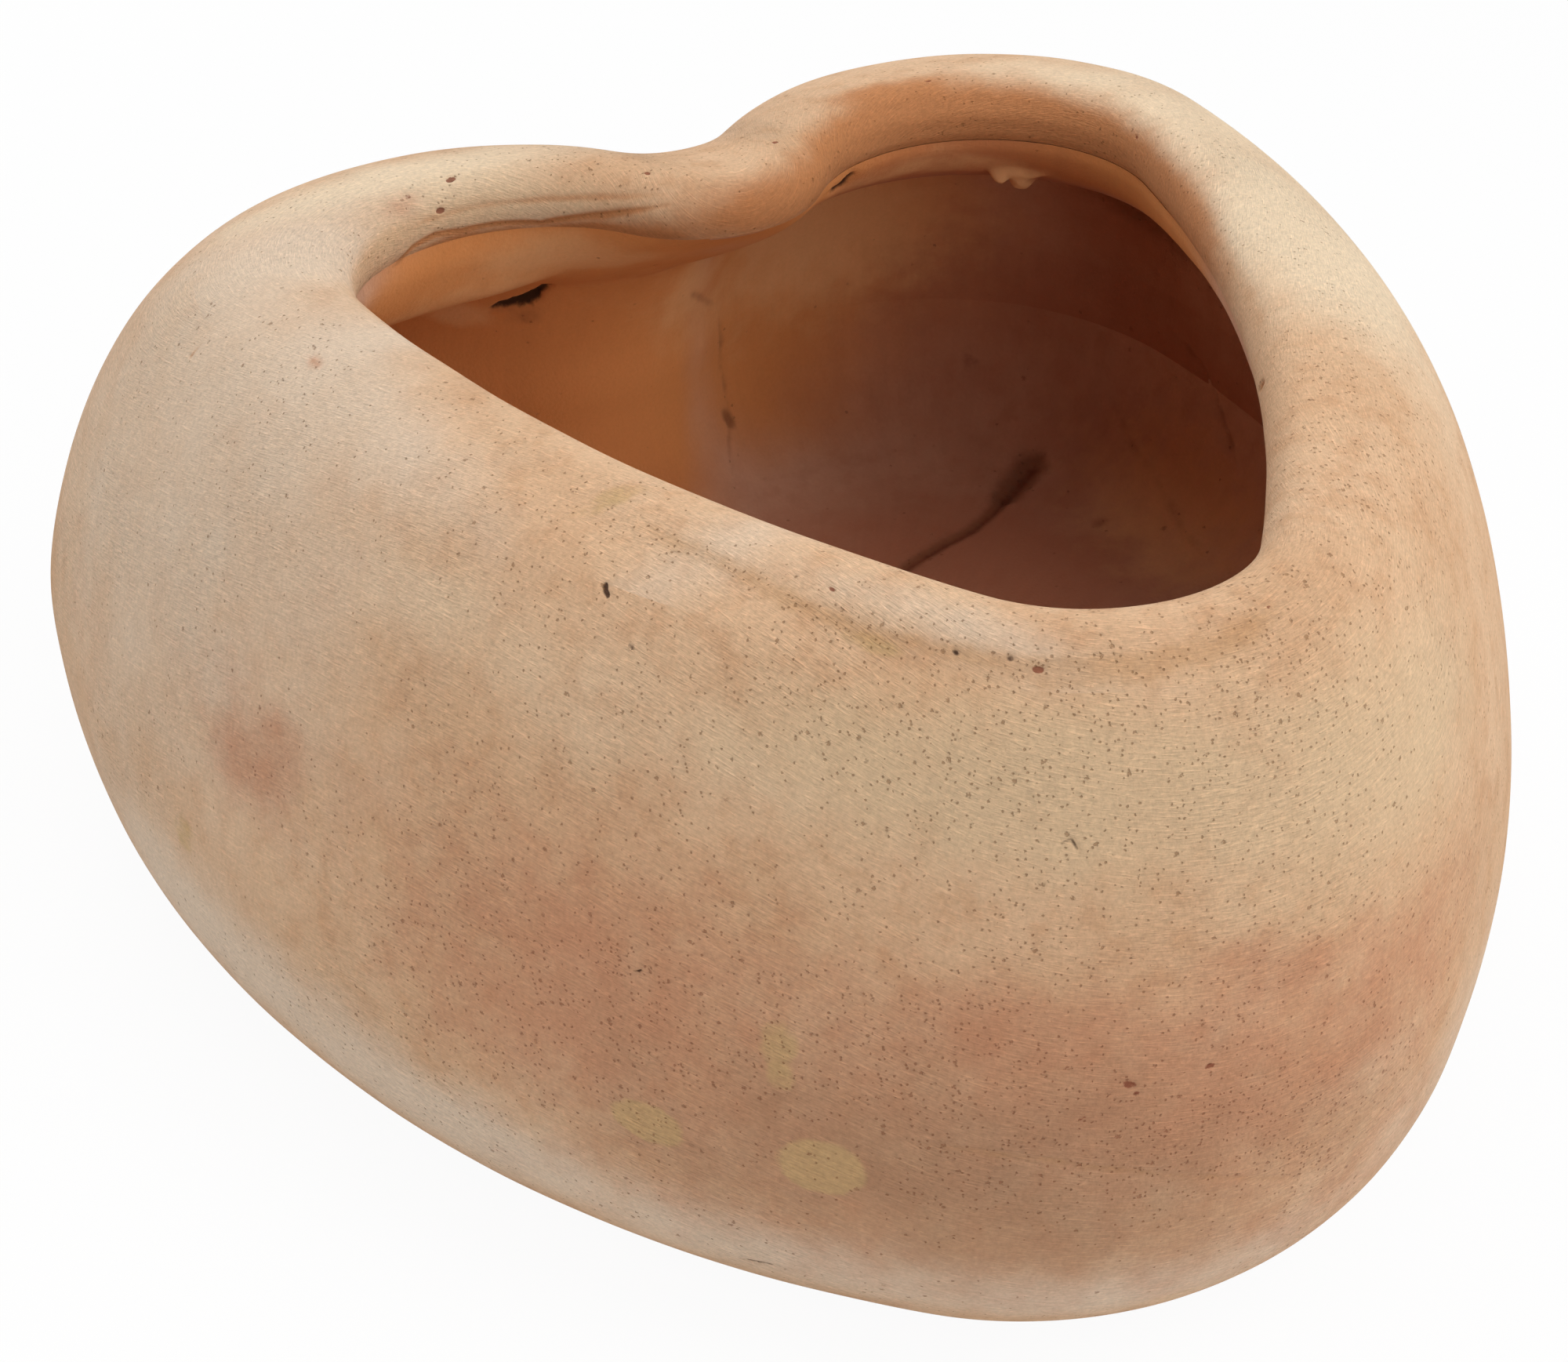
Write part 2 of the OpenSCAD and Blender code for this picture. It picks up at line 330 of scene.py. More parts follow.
def even_rows(curve: Callable[[float], np.ndarray], start: float, end: float, count: int) -> np.ndarray:
    """Rings at even distances along a curved face.

    Args:
        curve: Gives the ring at an angle or share.
        start: Where the first ring lies.
        end: Where the last ring lies.
        count: Number of gaps between rings.

    Returns:
        An array of count + 1 rings.
    """
    stops = np.linspace(start, end, PROBE_STOPS)
    fine = [curve(float(t))[::PROBE_EVERY] for t in stops]
    gaps = [float(np.linalg.norm(b - a, axis=1).mean()) for a, b in zip(fine, fine[1:])]
    travelled = np.concatenate([[0.0], np.cumsum(gaps)])
    wanted = np.interp(np.linspace(0.0, travelled[-1], count + 1), travelled, stops)
    return np.stack([curve(float(t)) for t in wanted])


class PotSurface:
    """The whole surface that can be seen or touched, as one run of rings: from the drain hole
    under the foot, up the outside, over the lip, down the inside and back to the hole."""

    SMOOTH_PASSES = 10
    # How many rings beside a kept edge are left as they are
    KEPT_RINGS = 3
    # Angles of the rings inside the clay under the lip
    UNDER_LIP = (144, 162, 180)
    # How much deeper the rings inside the lip lie, so that no dent in its face lays them bare
    BURIED_BY = 1.5

    def __init__(self, form: PotForm) -> None:
        """Makes the rings and cuts them into named stretches.

        Args:
            form: The pot's sizes.
        """
        belly_top, belly_low = form.shoulder_inner(form.belly_up), form.bowl_inner(form.belly_down)
        self.joint_ring = form.shoulder_inner(form.lip_joint)
        self.under_lip = np.stack([form.lip_face(t) for t in self.UNDER_LIP]) + (0.0, 0.0, self.BURIED_BY)
        self.belly_ring = form.shoulder_inner(0)
        belly_front = form.bulge(belly_top, self.belly_ring, belly_low, form.belly_strip_t)
        hole_low, hole_top = form.drain_ring(0.0), form.drain_ring(form.floor_t)
        foot, edge = form.bowl_outer(90), form.bowl_inner(90)
        plan = (
            ("sole", Finish.SKIN, lambda s: hole_low + (foot - hole_low) * s, 0.0, 1.0, 16),
            ("bowl", Finish.SKIN, form.bowl_outer, 90.0, 0.0, 44),
            ("shoulder", Finish.SKIN, form.shoulder_outer, 0.0, form.lip_joint, 60),
            ("lip_back", Finish.SKIN, form.shoulder_outer, form.lip_joint, 90.0, 14),
            ("roll", Finish.SKIN, form.lip_face, 0.0, form.lip_strip_from, 26),
            ("lip_strip", Finish.INSIDE, form.lip_strip_front(), 0.0, 1.0, 32),
            ("wall", Finish.INSIDE, form.shoulder_inner, form.strip_low, form.belly_up, 30),
            ("belly_strip", Finish.INSIDE, belly_front, 0.0, 1.0, 14),
            ("bowl_inside", Finish.INSIDE, form.bowl_inner, form.belly_down, 90.0, 40),
            ("floor", Finish.INSIDE, lambda s: edge + (hole_top - edge) * s, 0.0, 1.0, 40),
            ("hole", Finish.INSIDE, lambda s: hole_top + (hole_low - hole_top) * s, 0.0, 1.0, 6),
        )
        runs, self.spans, first = [], {}, 0
        for name, finish, curve, start, end, count in plan:
            runs.append(even_rows(curve, start, end, count)[:-1])
            self.spans[name] = (first, first + count, finish)
            first += count
        rows = np.concatenate(runs)
        self.rows = self._eased(rows)
        self.out = self._normals(self.rows)
        self.comb = self._distances(self.rows)

    def _eased(self, rows: np.ndarray) -> np.ndarray:
        """Takes out the faint ridges where arcs and curves meet, as the sponge did.

        Args:
            rows: The surface's rings.

        Returns:
            The eased rings.
        """
        soft = rows.copy()
        for _ in range(self.SMOOTH_PASSES):
            soft = (np.roll(soft, 1, 1) + 2 * soft + np.roll(soft, -1, 1)) / 4
        for first, last in (("bowl", "roll"), ("lip_strip", "bowl_inside")):
            low, high = self.spans[first][0] + self.KEPT_RINGS, self.spans[last][1] - self.KEPT_RINGS
            for _ in range(self.SMOOTH_PASSES):
                soft[low:high] = (soft[low - 1:high - 1] + 2 * soft[low:high] + soft[low + 1:high + 1]) / 4
        return soft

    @staticmethod
    def _normals(rows: np.ndarray) -> np.ndarray:
        """Outward unit vector at each point.

        Args:
            rows: The surface's rings.

        Returns:
            An array like rows.
        """
        round_pot = np.roll(rows, -1, 1) - np.roll(rows, 1, 1)
        along_wall = np.roll(rows, -1, 0) - np.roll(rows, 1, 0)
        out = np.cross(round_pot, along_wall)
        out /= np.linalg.norm(out, axis=2)[:, :, None]
        widest = int(np.argmax(rows[:, :, 0].max(axis=1)))
        column = int(np.argmax(rows[widest, :, 0]))
        return out if out[widest, column, 0] > 0 else -out

    @staticmethod
    def _distances(rows: np.ndarray) -> np.ndarray:
        """Distance round the pot from the cleft, and along the wall's section, at each point.

        Args:
            rows: The surface's rings.

        Returns:
            An array like rows, with 0 as its third value.
        """
        # the ring a quarter of the way on lies on the outside, near the belly
        middle = rows[rows.shape[0] // 4]
        steps = np.linalg.norm(np.roll(middle, -1, 0) - middle, axis=1)
        half = COLUMNS // 2
        walked = np.concatenate([[0.0], np.cumsum(steps[:half])])
        level = np.concatenate([walked[:half + 1], walked[half - 1:0:-1]])
        climbed = np.concatenate([np.zeros((1, COLUMNS)),
                                  np.cumsum(np.linalg.norm(np.diff(rows, axis=0), axis=2), axis=0)])
        flat = np.zeros_like(climbed)
        return np.stack([np.broadcast_to(level, climbed.shape), climbed, flat], axis=2)

    def stretch(self, name: str) -> Stretch:
        """The rings of one named stretch, with its first and last rings.

        Args:
            name: A name from the plan of stretches.

        Returns:
            The stretch.
        """
        first, last, finish = self.spans[name]
        pick = np.arange(first, last + 1) % len(self.rows)
        return Stretch(self.rows[pick], finish, self.out[pick], self.comb[pick])

    @staticmethod
    def buried(rings: np.ndarray) -> Stretch:
        """Rings inside the clay, where two pieces meet out of sight."""
        rings = rings.reshape(-1, COLUMNS, 3)
        return Stretch(rings, Finish.HIDDEN, np.zeros_like(rings), np.zeros_like(rings))


# ---- Marks of the hand, the kiln and the years, and painted light and shade ----

class Paint(Enum):
    """Attributes on the clay that the materials read."""

    # rosy patches from the kiln, and painted shade low on the front
    BLUSH_AND_SHADE = "blush_and_shade"
    CREAM = "cream"
    BUFF = "buff"
    SLIP = "slip"
    # dirt and darker lines, and painted shade along the joint near the tip and under the lip inside
    GRIME_AND_SHADE = "grime_and_shade"
    RUST = "rust"
    # painted shade in pits, cracks, chips and gaps
    GAP_SHADE = "gap"
    # painted shade, darker and redder, in the right lobe and on the floor inside
    BLOOM = "inside_shade"
    # paler smeared clay, and painted light where the inside walls catch the light
    PALE_AND_LIGHT = "pale_and_light"
    # paler, warmer clay, and painted light on the lip's lower face behind the left lobe
    WARM_AND_LIGHT = "warm_and_light"
    ORANGE = "orange"
    # painted shade, duller and darker low on the front
    LOW_FRONT_SHADE = "low_front_shade"
    PORES = "pores"


# How many times its half length from its middle a patch is worked out
TOUCH_REACH = 3.2
# How fast a patch fades where the clay turns away from its middle
TURN_FADE = 2.0
# Share of a line over which each end fades, and how wide and how strong its ends still are
END_RUN = 0.16
END_WIDTH = 0.55
END_STRENGTH = 0.25
# Below this sine of its slope the clay counts as a level floor
FLOOR_SLOPE = 0.2


@dataclass(frozen=True)
class Touch:
    """A patch of colour or relief.

    at is its middle, size its half length and half width, strength how much paint it lays on,
    depth how far it goes into the clay, turn the angle of its length from level and edge how
    crisp its border is, from 1.
    """

    at: tuple[float, float, float]
    size: tuple[float, float]
    paint: Paint
    strength: float
    depth: float = 0.0
    turn: float = 0.0
    edge: float = 1.0

    def share(self, points: np.ndarray, out: np.ndarray) -> np.ndarray:
        """How much of the mark each point gets.

        Args:
            points: Places on the clay.
            out: Outward unit vectors there.

        Returns:
            A share from 0 to 1 for each point.
        """
        offset = points - np.array(self.at)
        away = (offset ** 2).sum(axis=1)
        near = away < (TOUCH_REACH * max(self.size)) ** 2
        result = np.zeros(len(points))
        if not near.any():
            return result
        closest = int(np.argmin(away))
        level, uphill = facing_axes(out[closest])
        angle = math.radians(self.turn)
        along = level * math.cos(angle) + uphill * math.sin(angle)
        across = uphill * math.cos(angle) - level * math.sin(angle)
        reach = (offset[near] @ along / self.size[0]) ** 2 + (offset[near] @ across / self.size[1]) ** 2
        agree = np.clip(out[near] @ out[closest] * TURN_FADE, 0.0, 1.0)
        result[near] = np.exp(-reach ** self.edge) * agree
        return result


def touches(paint: Paint, *rows: tuple[float, ...]) -> tuple[Touch, ...]:
    """Patches of one paint.

    Args:
        paint: The attribute that they mark.
        rows: For each patch x, y and z, half length, half width and strength, and then its
            depth, turn and edge as far as they differ from a plain patch's.

    Returns:
        The patches in the same order.
    """
    return tuple(Touch(row[:3], row[3:5], paint, *row[5:]) for row in rows)


@dataclass(frozen=True)
class Score:
    """A crack, crease or scratch along a line of points."""

    line: tuple[tuple[float, float, float], ...]
    width: float
    depth: float
    paint: Paint | None = None
    strength: float = 1.0

    def share(self, points: np.ndarray, _out: np.ndarray) -> np.ndarray:
        """How much of the mark each point gets, fading towards both ends of the line.

        Args:
            points: Places on the clay.
            _out: Outward unit vectors there, which only a Touch needs.

        Returns:
            A share from 0 to 1 for each point.
        """
        path = np.array(self.line, float)
        lengths = np.concatenate([[0.0], np.cumsum(np.linalg.norm(np.diff(path, axis=0), axis=1))])
        best = np.full(len(points), 1e9)
        where = np.zeros(len(points))
        for a, b, start in zip(path, path[1:], lengths):
            run = b - a
            share = np.clip((points - a) @ run / (run @ run), 0.0, 1.0)
            gap = np.linalg.norm(points - a - share[:, None] * run, axis=1)
            closer = gap < best
            best[closer] = gap[closer]
            where[closer] = start + share[closer] * math.sqrt(run @ run)
        fade = np.clip(np.minimum(where, lengths[-1] - where) / (END_RUN * lengths[-1]), 0.0, 1.0)
        width = self.width * (END_WIDTH + (1 - END_WIDTH) * fade)
        return np.exp(-(best / width) ** 2) * (END_STRENGTH + (1 - END_STRENGTH) * fade)


def facing_axes(out: np.ndarray) -> tuple[np.ndarray, np.ndarray]:
    """Level and uphill directions on a surface.

    Args:
        out: The surface's outward unit vector.

    Returns:
        Two unit vectors across it. On a flat floor they are +X and +Y.
    """
    level = np.cross([0.0, 0.0, 1.0], out)
    size = float(np.linalg.norm(level))
    level = np.array([1.0, 0.0, 0.0]) if size < FLOOR_SLOPE else level / size
    uphill = np.cross(out, level)
    return level, uphill / np.linalg.norm(uphill)


# Where the lip's rolled face ends above the smeared clay, behind the left lobe
HAIRLINE = ((-66, 73, 119), (-64, 76, 120), (-61, 78, 121), (-58, 78, 123), (-53, 80, 124), (-47, 81, 123),
            (-39, 80, 123), (-31, 78, 122.5), (-26, 74, 124), (-21, 69, 126), (-16, 63, 129),
            (-11, 59, 131))
# The wiped end of the lip just below it
LIP_END = ((-65, 77, 116.5), (-62, 79, 119), (-58, 81, 120.5), (-52, 82.5, 121.5), (-42, 83, 121),
           (-31, 81, 120.5), (-24, 75, 121.5), (-17, 66, 123), (-10, 59, 124.5), (-2, 55, 124.5))
# Edge of the sponged clay above it
SPONGE_EDGE = ((-60, 77, 127), (-55, 79, 128), (-48, 80, 128), (-42, 80, 128), (-32, 78, 128),
               (-24, 73, 129), (-17, 66, 131), (-11, 60, 133))
# Middle of the clay that hangs under the lip, from the left lobe round to the right flank
HANGING_CLAY = ((-70, 68, 112), (-64, 78, 112), (-40, 85, 112), (-22, 77, 115), (-8, 57, 121), (6, 52, 122),
                (18, 57, 120), (28, 66, 118), (46, 78, 116), (63, 80, 115), (78, 72, 115), (86, 55, 117),
                (87, 38, 119), (84, 20, 122), (78, 4, 125), (70, -18, 128))
# Rings that the fingers drew in the face of the lip, behind the right lobe
LIP_RINGS = (
    ((30, 68, 124), (41, 75, 120), (60, 77, 120.5), (75, 69, 121), (85, 53, 122), (86, 35, 123),
     (82, 18, 126)),
    ((34, 70, 128), (48, 75.5, 126), (62, 75.5, 125), (75, 67, 125.5), (84, 51, 126), (83, 32, 129),
     (78, 10, 133)),
    ((38, 74, 132), (52, 77, 131), (66, 74, 131), (76, 66, 131), (83, 54, 131), (84, 36, 131.5),
     (79, 14, 135)),
)
# Face of the lip that was only wiped by finger, from the cleft to the right lobe
WIPED_LIP = ((-22, 69, 124), (-12, 61, 125.5), (-4, 55, 127), (8, 52, 128), (20, 57, 128.5), (30, 67, 129),
             (44, 76, 129), (59, 77, 128.5), (74, 69, 128.5), (84, 53, 128), (85, 38, 128.5), (82, 22, 129),
             (78, 6, 130.5), (72, -10, 132), (65, -27, 134))
# Crack across the floor
FLOOR_CRACK = ((50, 76, 11), (60, 81, 11), (70, 84.5, 11), (79, 87, 11), (88, 92, 11), (97, 100, 11.5))
# The joint of the two pressed halves, which shows near the tip
BELLY_SEAM = ((-58, -129, 63), (-47, -138, 63), (-36, -144, 61.5), (-24, -148.5, 58), (-10, -151.5, 53),
              (3, -152, 47), (13, -150.5, 43))


class PotterHand:
    """Everything that makes the clay look handled: unevenness, marks and patches, some of them painted light
    and shade.
    """

    SKIN_TOUCHES = (
        # cool, chalky clay that the sponge left on the left shoulder, the lip and near the foot
        *touches(Paint.CREAM, (-126, 34, 104, 80, 62, 0.62, 0, 0, 1.3), (-108, 18, 126, 50, 30, 0.3),
                 (-83, 24, 138, 34, 9, 0.7), (-85, 66, 130, 34, 18, 0.8), (-92, -12, 137, 40, 9, 0.6),
                 (-60, -72, 145, 50, 8, 0.5), (-38, -112, 147.5, 34, 6, 0.6), (-137, -2, 38, 46, 14, 0.9),
                 (-114, -62, 30, 46, 13, 0.9), (-75, -112, 26, 46, 12, 0.7), (-22, -144, 26, 46, 11, 0.8),
                 (54, -122, 40, 46, 22, 0.5)),
        # a warmer bloom on the left shoulder
        *touches(Paint.ORANGE, (-128, 0, 98, 24, 16, 0.15), (-120, -22, 102, 34, 16, 0.12)),
        # a buff band on the lip's face behind the left lobe, and below it a pale band that is painted light
        # on the lip's lower face
        *touches(Paint.BUFF, (-42, 80, 127, 34, 6, 0.8)),
        *touches(Paint.WARM_AND_LIGHT, (-34, 80, 125.5, 26, 4, 0.6)),
        # paler, warmer clay on the right shoulder and in the middle of the flank
        *touches(Paint.WARM_AND_LIGHT, (69, 79, 134, 44, 12, 0.4), (90, 64, 133, 22, 12, 0.6),
                 (86, -22, 137, 60, 24, 1.0), (94, 40, 132, 34, 18, 0.7), (-58, 88, 132, 44, 13, 1.0),
                 (-70, -92, 121, 62, 14, 0.4), (-98, -42, 125, 26, 10, 0.4), (23, -147, 62, 16, 10, 0.5),
                 (90, 120, 110, 40, 20, 0.5), (128, 12, 100, 60, 34, 0.6)),
        # cooler buff clay near the tip
        *touches(Paint.BUFF, (-28, -131, 126, 56, 16, 0.85), (24, -134, 118, 38, 26, 0.7),
                 (-50, -119, 130, 30, 8, 0.5)),
        # bare orange clay behind the right lobe, where the lip was only wiped by finger
        *touches(Paint.ORANGE, (47, 82, 134, 12, 4.5, 0.75), (60, 82, 134, 12, 3.5, 0.35)),
        # rosy patches from the kiln; the broad patch low on the front is painted shade as well
        *touches(Paint.BLUSH_AND_SHADE, (-127, -16, 82, 13, 9, 0.75), (-123, -21, 91, 8, 5, 0.5),
                 (-64, 82, 134, 12, 6, 0.35), (-60, 81, 131, 6, 3, 0.5), (-92, -86, 80, 44, 25, 0.7),
                 (-99, -85, 63, 40, 14, 0.35), (-128, -6, 92, 34, 14, 0.25), (-28, -144, 82, 50, 17, 0.65),
                 (-44, -136, 86, 12, 8, 0.5), (-14, -150, 66, 44, 14, 0.7), (30, -143, 78, 34, 18, 0.5),
                 (-68, -120, 50, 40, 18, 0.3), (-96, 23, 136, 3, 1.6, 0.8), (-137, 60, 77, 26, 16, 0.25),
                 (-8, -147, 97, 7, 5, 0.5), (4, -149, 91, 9, 6, 0.5), (120, 60, 90, 44, 26, 0.2),
                 (60, 150, 70, 40, 22, 0.4), (-60, 150, 60, 36, 24, 0.35), (-46, -136, 38, 90, 32, 0.4),
                 (20, -146, 34, 40, 20, 0.35), (-86, -92, 92, 60, 26, 0.15)),
        # painted shade: duller and darker low on the front
        *touches(Paint.LOW_FRONT_SHADE, (-48, -138, 56, 78, 30, 0.65)),
        # slip wiped on with a fingertip
        *touches(Paint.SLIP, (-88, -100, 53.5, 7.5, 5, 0.95, -0.15, -8, 2.6),
                 (-67, -122, 54, 8.5, 6.5, 1.0, -0.15, 4, 2.8), (-71, -114, 77, 5, 5.5, 0.7, -0.1, 0, 1.8),
                 (-71, -115.5, 70, 4, 3.5, 0.6, -0.1, 0, 1.8), (-70, -50, 143, 10, 4, 0.6, 0, -12, 1.4),
                 (-50, -103, 142, 8, 2.5, 0.65, 0, 0, 1.6), (-137, 1, 58, 7, 6, 0.6, 0, 0, 1.5),
                 (-133, -15, 48, 5, 6, 0.5, 0, 0, 1.5)),
        # where specks crowd
        *touches(Paint.PORES, (-97, -82, 72, 30, 22, 0.8), (-78, -106, 76, 26, 16, 0.6),
                 (-52, -131, 76, 36, 20, 0.8), (-12, -149, 64, 36, 13, 1.0), (6, -152, 54, 18, 8, 1.0),
                 (-28, -130, 132, 36, 10, 0.9), (0, -130, 143, 26, 12, 1.0), (-10, -142, 122, 36, 14, 0.6),
                 (50, -90, 142, 40, 18, 0.6), (-60, -104, 131, 30, 8, 0.5), (-80, -60, 137, 40, 8, 0.3),
                 (-40, 88, 131, 30, 5, 0.5), (-22, -133, 98, 30, 18, 0.5)),
        # iron spots
        *touches(Paint.RUST, (-47, 85, 133, 1.23, 0.74, 1.0, 0.5, 15, 2),
                 (-51, 80, 129, 1.07, 0.74, 1.0, 0.5, 0, 2), (-57, 82, 133, 1.15, 0.74, 0.6, 0.2, 30, 2),
                 (-12, 67, 135, 0.74, 0.57, 1.0, 0.3, 0, 2), (17, 68, 135, 0.82, 0.66, 1.0, 0.3, 0, 2),
                 (-75, 62, 127, 0.57, 0.49, 0.9, 0.3, 0, 2), (-51, -92, 146, 0.82, 0.41, 0.9, 0.3, -10, 2),
                 (-32, -122.3, 144, 1.07, 0.66, 1.0, 0.3, 0, 2),
                 (-97, -83, 75, 0.98, 0.74, 0.55, 0.2, 0, 2),
                 (-112, -65, 41, 1.8, 0.82, 0.5, 0.2, -20, 1.5),
                 (-25, -146, 76, 1.56, 0.9, 0.85, 0.3, -25, 1.6),
                 (-24, -147, 74, 0.82, 0.66, 0.7, 0.3, 0, 1.6),
                 (-12, -149, 77, 1.07, 0.74, 0.8, 0.3, 10, 2),
                 (-32, -144.5, 70, 0.98, 0.66, 0.6, 0.2, 0, 1.6), (60, 82, 134, 0.82, 0.49, 0.8, 0.3, 0, 2),
                 (86, 41, 133, 0.66, 0.49, 0.7, 0.3, 0, 2), (5, -128, 148, 0.74, 0.41, 0.6, 0.2, 0, 2)),
        # small pits, darkened with painted shade
        *touches(Paint.GAP_SHADE, (-83, -51, 137, 0.6, 0.5, 0.9, 0.3, 0, 2),
                 (-41, -113, 144, 0.8, 0.5, 0.7, 0.3, -20, 2), (-35, -119, 145, 0.8, 0.6, 0.6, 0.3, 0, 2),
                 (-78, -76, 132, 0.6, 0.5, 0.6, 0.3, 0, 2), (-87, -95, 83, 0.9, 0.6, 0.8, 0.3, 0, 2)),
        # chips: on the belly joint at the right, darkened with painted shade, and on the lip's inner edge
        *touches(Paint.GAP_SHADE, (71, -118, 50, 3.0, 1.6, 0.5, 1.4, 20, 2)),
        *touches(Paint.ORANGE, (49, -59, 137, 2.0, 1.0, 0.8, 0.6, 60, 2)),
    )
    SKIN_SCORES = (
        # groove that sets the lip off from the flank, darker in its lower end
        Score(((-82, -3, 140), (-81, -27, 141), (-77, -42, 142), (-72, -59, 142), (-65, -74, 143),
               (-55, -96, 143), (-50, -105, 141), (-41, -117, 142), (-33, -123, 143), (-22, -128, 145),
               (-3, -130, 147), (16, -115, 148)), 5.0, 1.0),
        Score(((-69, -58, 143), (-66, -66, 143.5), (-62, -75, 144), (-57, -88, 143), (-54, -95, 143.5)),
              2.2, 0.1, Paint.GRIME_AND_SHADE, 0.8),
        Score(((-57, -88, 143), (-51, -100, 143), (-43, -110, 143.5), (-36, -119, 144.5),
               (-28, -124.5, 144.5), (-19, -128.5, 145.5)), 1.8, 0.1, Paint.GRIME_AND_SHADE, 0.9),
        Score(((-38, -119, 143), (-28, -126, 143.5), (-16, -130, 145), (-4, -131, 146), (8, -128, 147.5)),
              3.0, 0.0, Paint.GRIME_AND_SHADE, 0.9),
        # cracks and scratches, and the joint near the tip, with painted shade in the cracks and along the
        # joint
        Score(((-77.4, -64.6, 138), (-78, -66, 137), (-77.6, -67.4, 135.8)), 0.55, 0.6, Paint.GAP_SHADE, 1.0),
        Score(((-34, -134, 119), (-32, -135, 120.2), (-31, -136, 118)), 0.45, 0.4, Paint.GAP_SHADE, 0.6),
        Score(((-112, 53, 125), (-108, 53, 128)), 0.6, 0.2, Paint.ORANGE, 0.8),
        Score(((-75, -108, 21), (-71, -113, 22.5)), 0.6, 0.7, Paint.GAP_SHADE, 0.9),
        Score(((-102, -73, 22), (-100, -77, 24)), 0.6, 0.7, Paint.GAP_SHADE, 0.7),
        Score(((-32, -142, 20), (-19, -145, 18), (-4, -147, 19)), 0.7, 0.7, Paint.GAP_SHADE, 0.6),
        Score(BELLY_SEAM, 0.8, 0.3, Paint.GRIME_AND_SHADE, 0.5),
        # bare and darker lines where the sponge and the lip's rolled face end
        Score(LIP_END, 2.4, 0.0, Paint.ORANGE, 1.0),
        Score(HAIRLINE, 1.0, 0.15, Paint.ORANGE, 1.0),
        Score(HAIRLINE, 0.7, 0.15, Paint.GRIME_AND_SHADE, 0.6),
        Score(SPONGE_EDGE, 1.1, 0.15, Paint.ORANGE, 0.5),
        # the part of the lip that was only wiped by finger, with the rings that this drew
        Score(WIPED_LIP, 8.5, 0.0, Paint.ORANGE, 1.0),
        Score(LIP_RINGS[0], 4.5, 0.0, Paint.ORANGE, 0.9),
        *(Score(ring, 2.2, 0.25, Paint.ORANGE, 0.35) for ring in LIP_RINGS),
    )
    INSIDE_TOUCHES = (
        # orange clay in the left lobe, on all that hangs from the lip and on to the right lobe
        *touches(Paint.ORANGE, (-30, 125, 60, 88, 90, 1.0, 0, 0, 2.5),
                 (68, 134, 76, 36, 26, 0.6, 0, 0, 1.2)),
        # wet clay smeared down from the lip, paler, with a torn lower edge; the pale on the wall under the
        # lip, on the ridge and on the right lobe's back wall is painted light as well
        *touches(Paint.PALE_AND_LIGHT, (-26, 80, 113, 22, 9, 0.8, 0, 0, 1.2),
                 (-50, 89, 102, 22, 6, 0.5, -0.5, 4, 1.6), (-34, 88, 103, 9, 5, 0.5, -0.6, 20, 1.6),
                 (-34, 129, 77, 10, 5, 0.6, -0.6, -14, 2.0), (6, 100, 92, 26, 24, 0.3),
                 (20, 118, 74, 9, 16, 0.6, -0.3, 0, 1.2), (27, 128, 55, 7, 14, 0.15, -0.2, 0, 1.2),
                 (62, 81, 114, 30, 8, 0.6, 0, 0, 1.2), (66, 137, 72, 36, 28, 0.9, 0, 0, 1.1)),
        *touches(Paint.GRIME_AND_SHADE, (-21, 119, 77, 5, 3, 0.5, 0, 20)),
        # blob of clay that hangs from the lip, in two lobes
        *touches(Paint.PALE_AND_LIGHT, (80, 76, 110.5, 5, 2.6, 0.9, -1.8, 0, 1.6),
                 (82.5, 79, 106.5, 2.9, 3.8, 0.9, -3.2, 0, 1.8),
                 (77, 79.5, 109, 2.0, 2.6, 0.9, -2.2, 0, 1.6)),
        # painted shade: darker and redder in the right lobe and on the floor
        *touches(Paint.BLOOM, (119, 97, 80, 22, 18, 0.7, 0, 0, 1.3), (62, 66, 11, 62, 54, 1.0, 0, 0, 1.2),
                 (98, 118, 44, 46, 30, 0.6, 0, 0, 1.2)),
        *touches(Paint.ORANGE, (98, 118, 44, 46, 30, 0.3, 0, 0, 1.2)),
        *touches(Paint.PALE_AND_LIGHT, (120, 62, 20, 38, 20, 0.75, 0, 0, 1.2)),
        # darker marks on the ridge and the floor; the two shallow hollows on the right wall under the lip are
        # painted shadow
        *touches(Paint.GRIME_AND_SHADE, (35, 131.5, 29, 1.6, 3.4, 0.8, 0.3, 24, 1.4),
                 (100, 101, 12, 9, 5, 0.55, 0.8, 35), (107, 75, 11, 3, 1.8, 0.5, 0.2, 0, 1.2),
                 (119, 94, 84, 17, 5, 0.7, 0.6, -20), (128, 72, 82, 16, 7, 0.8, 0.5, -25)),
        *touches(Paint.RUST, (101, 129, 29, 3.2, 2.6, 0.45, 0.2, 0, 1.1)),
    )
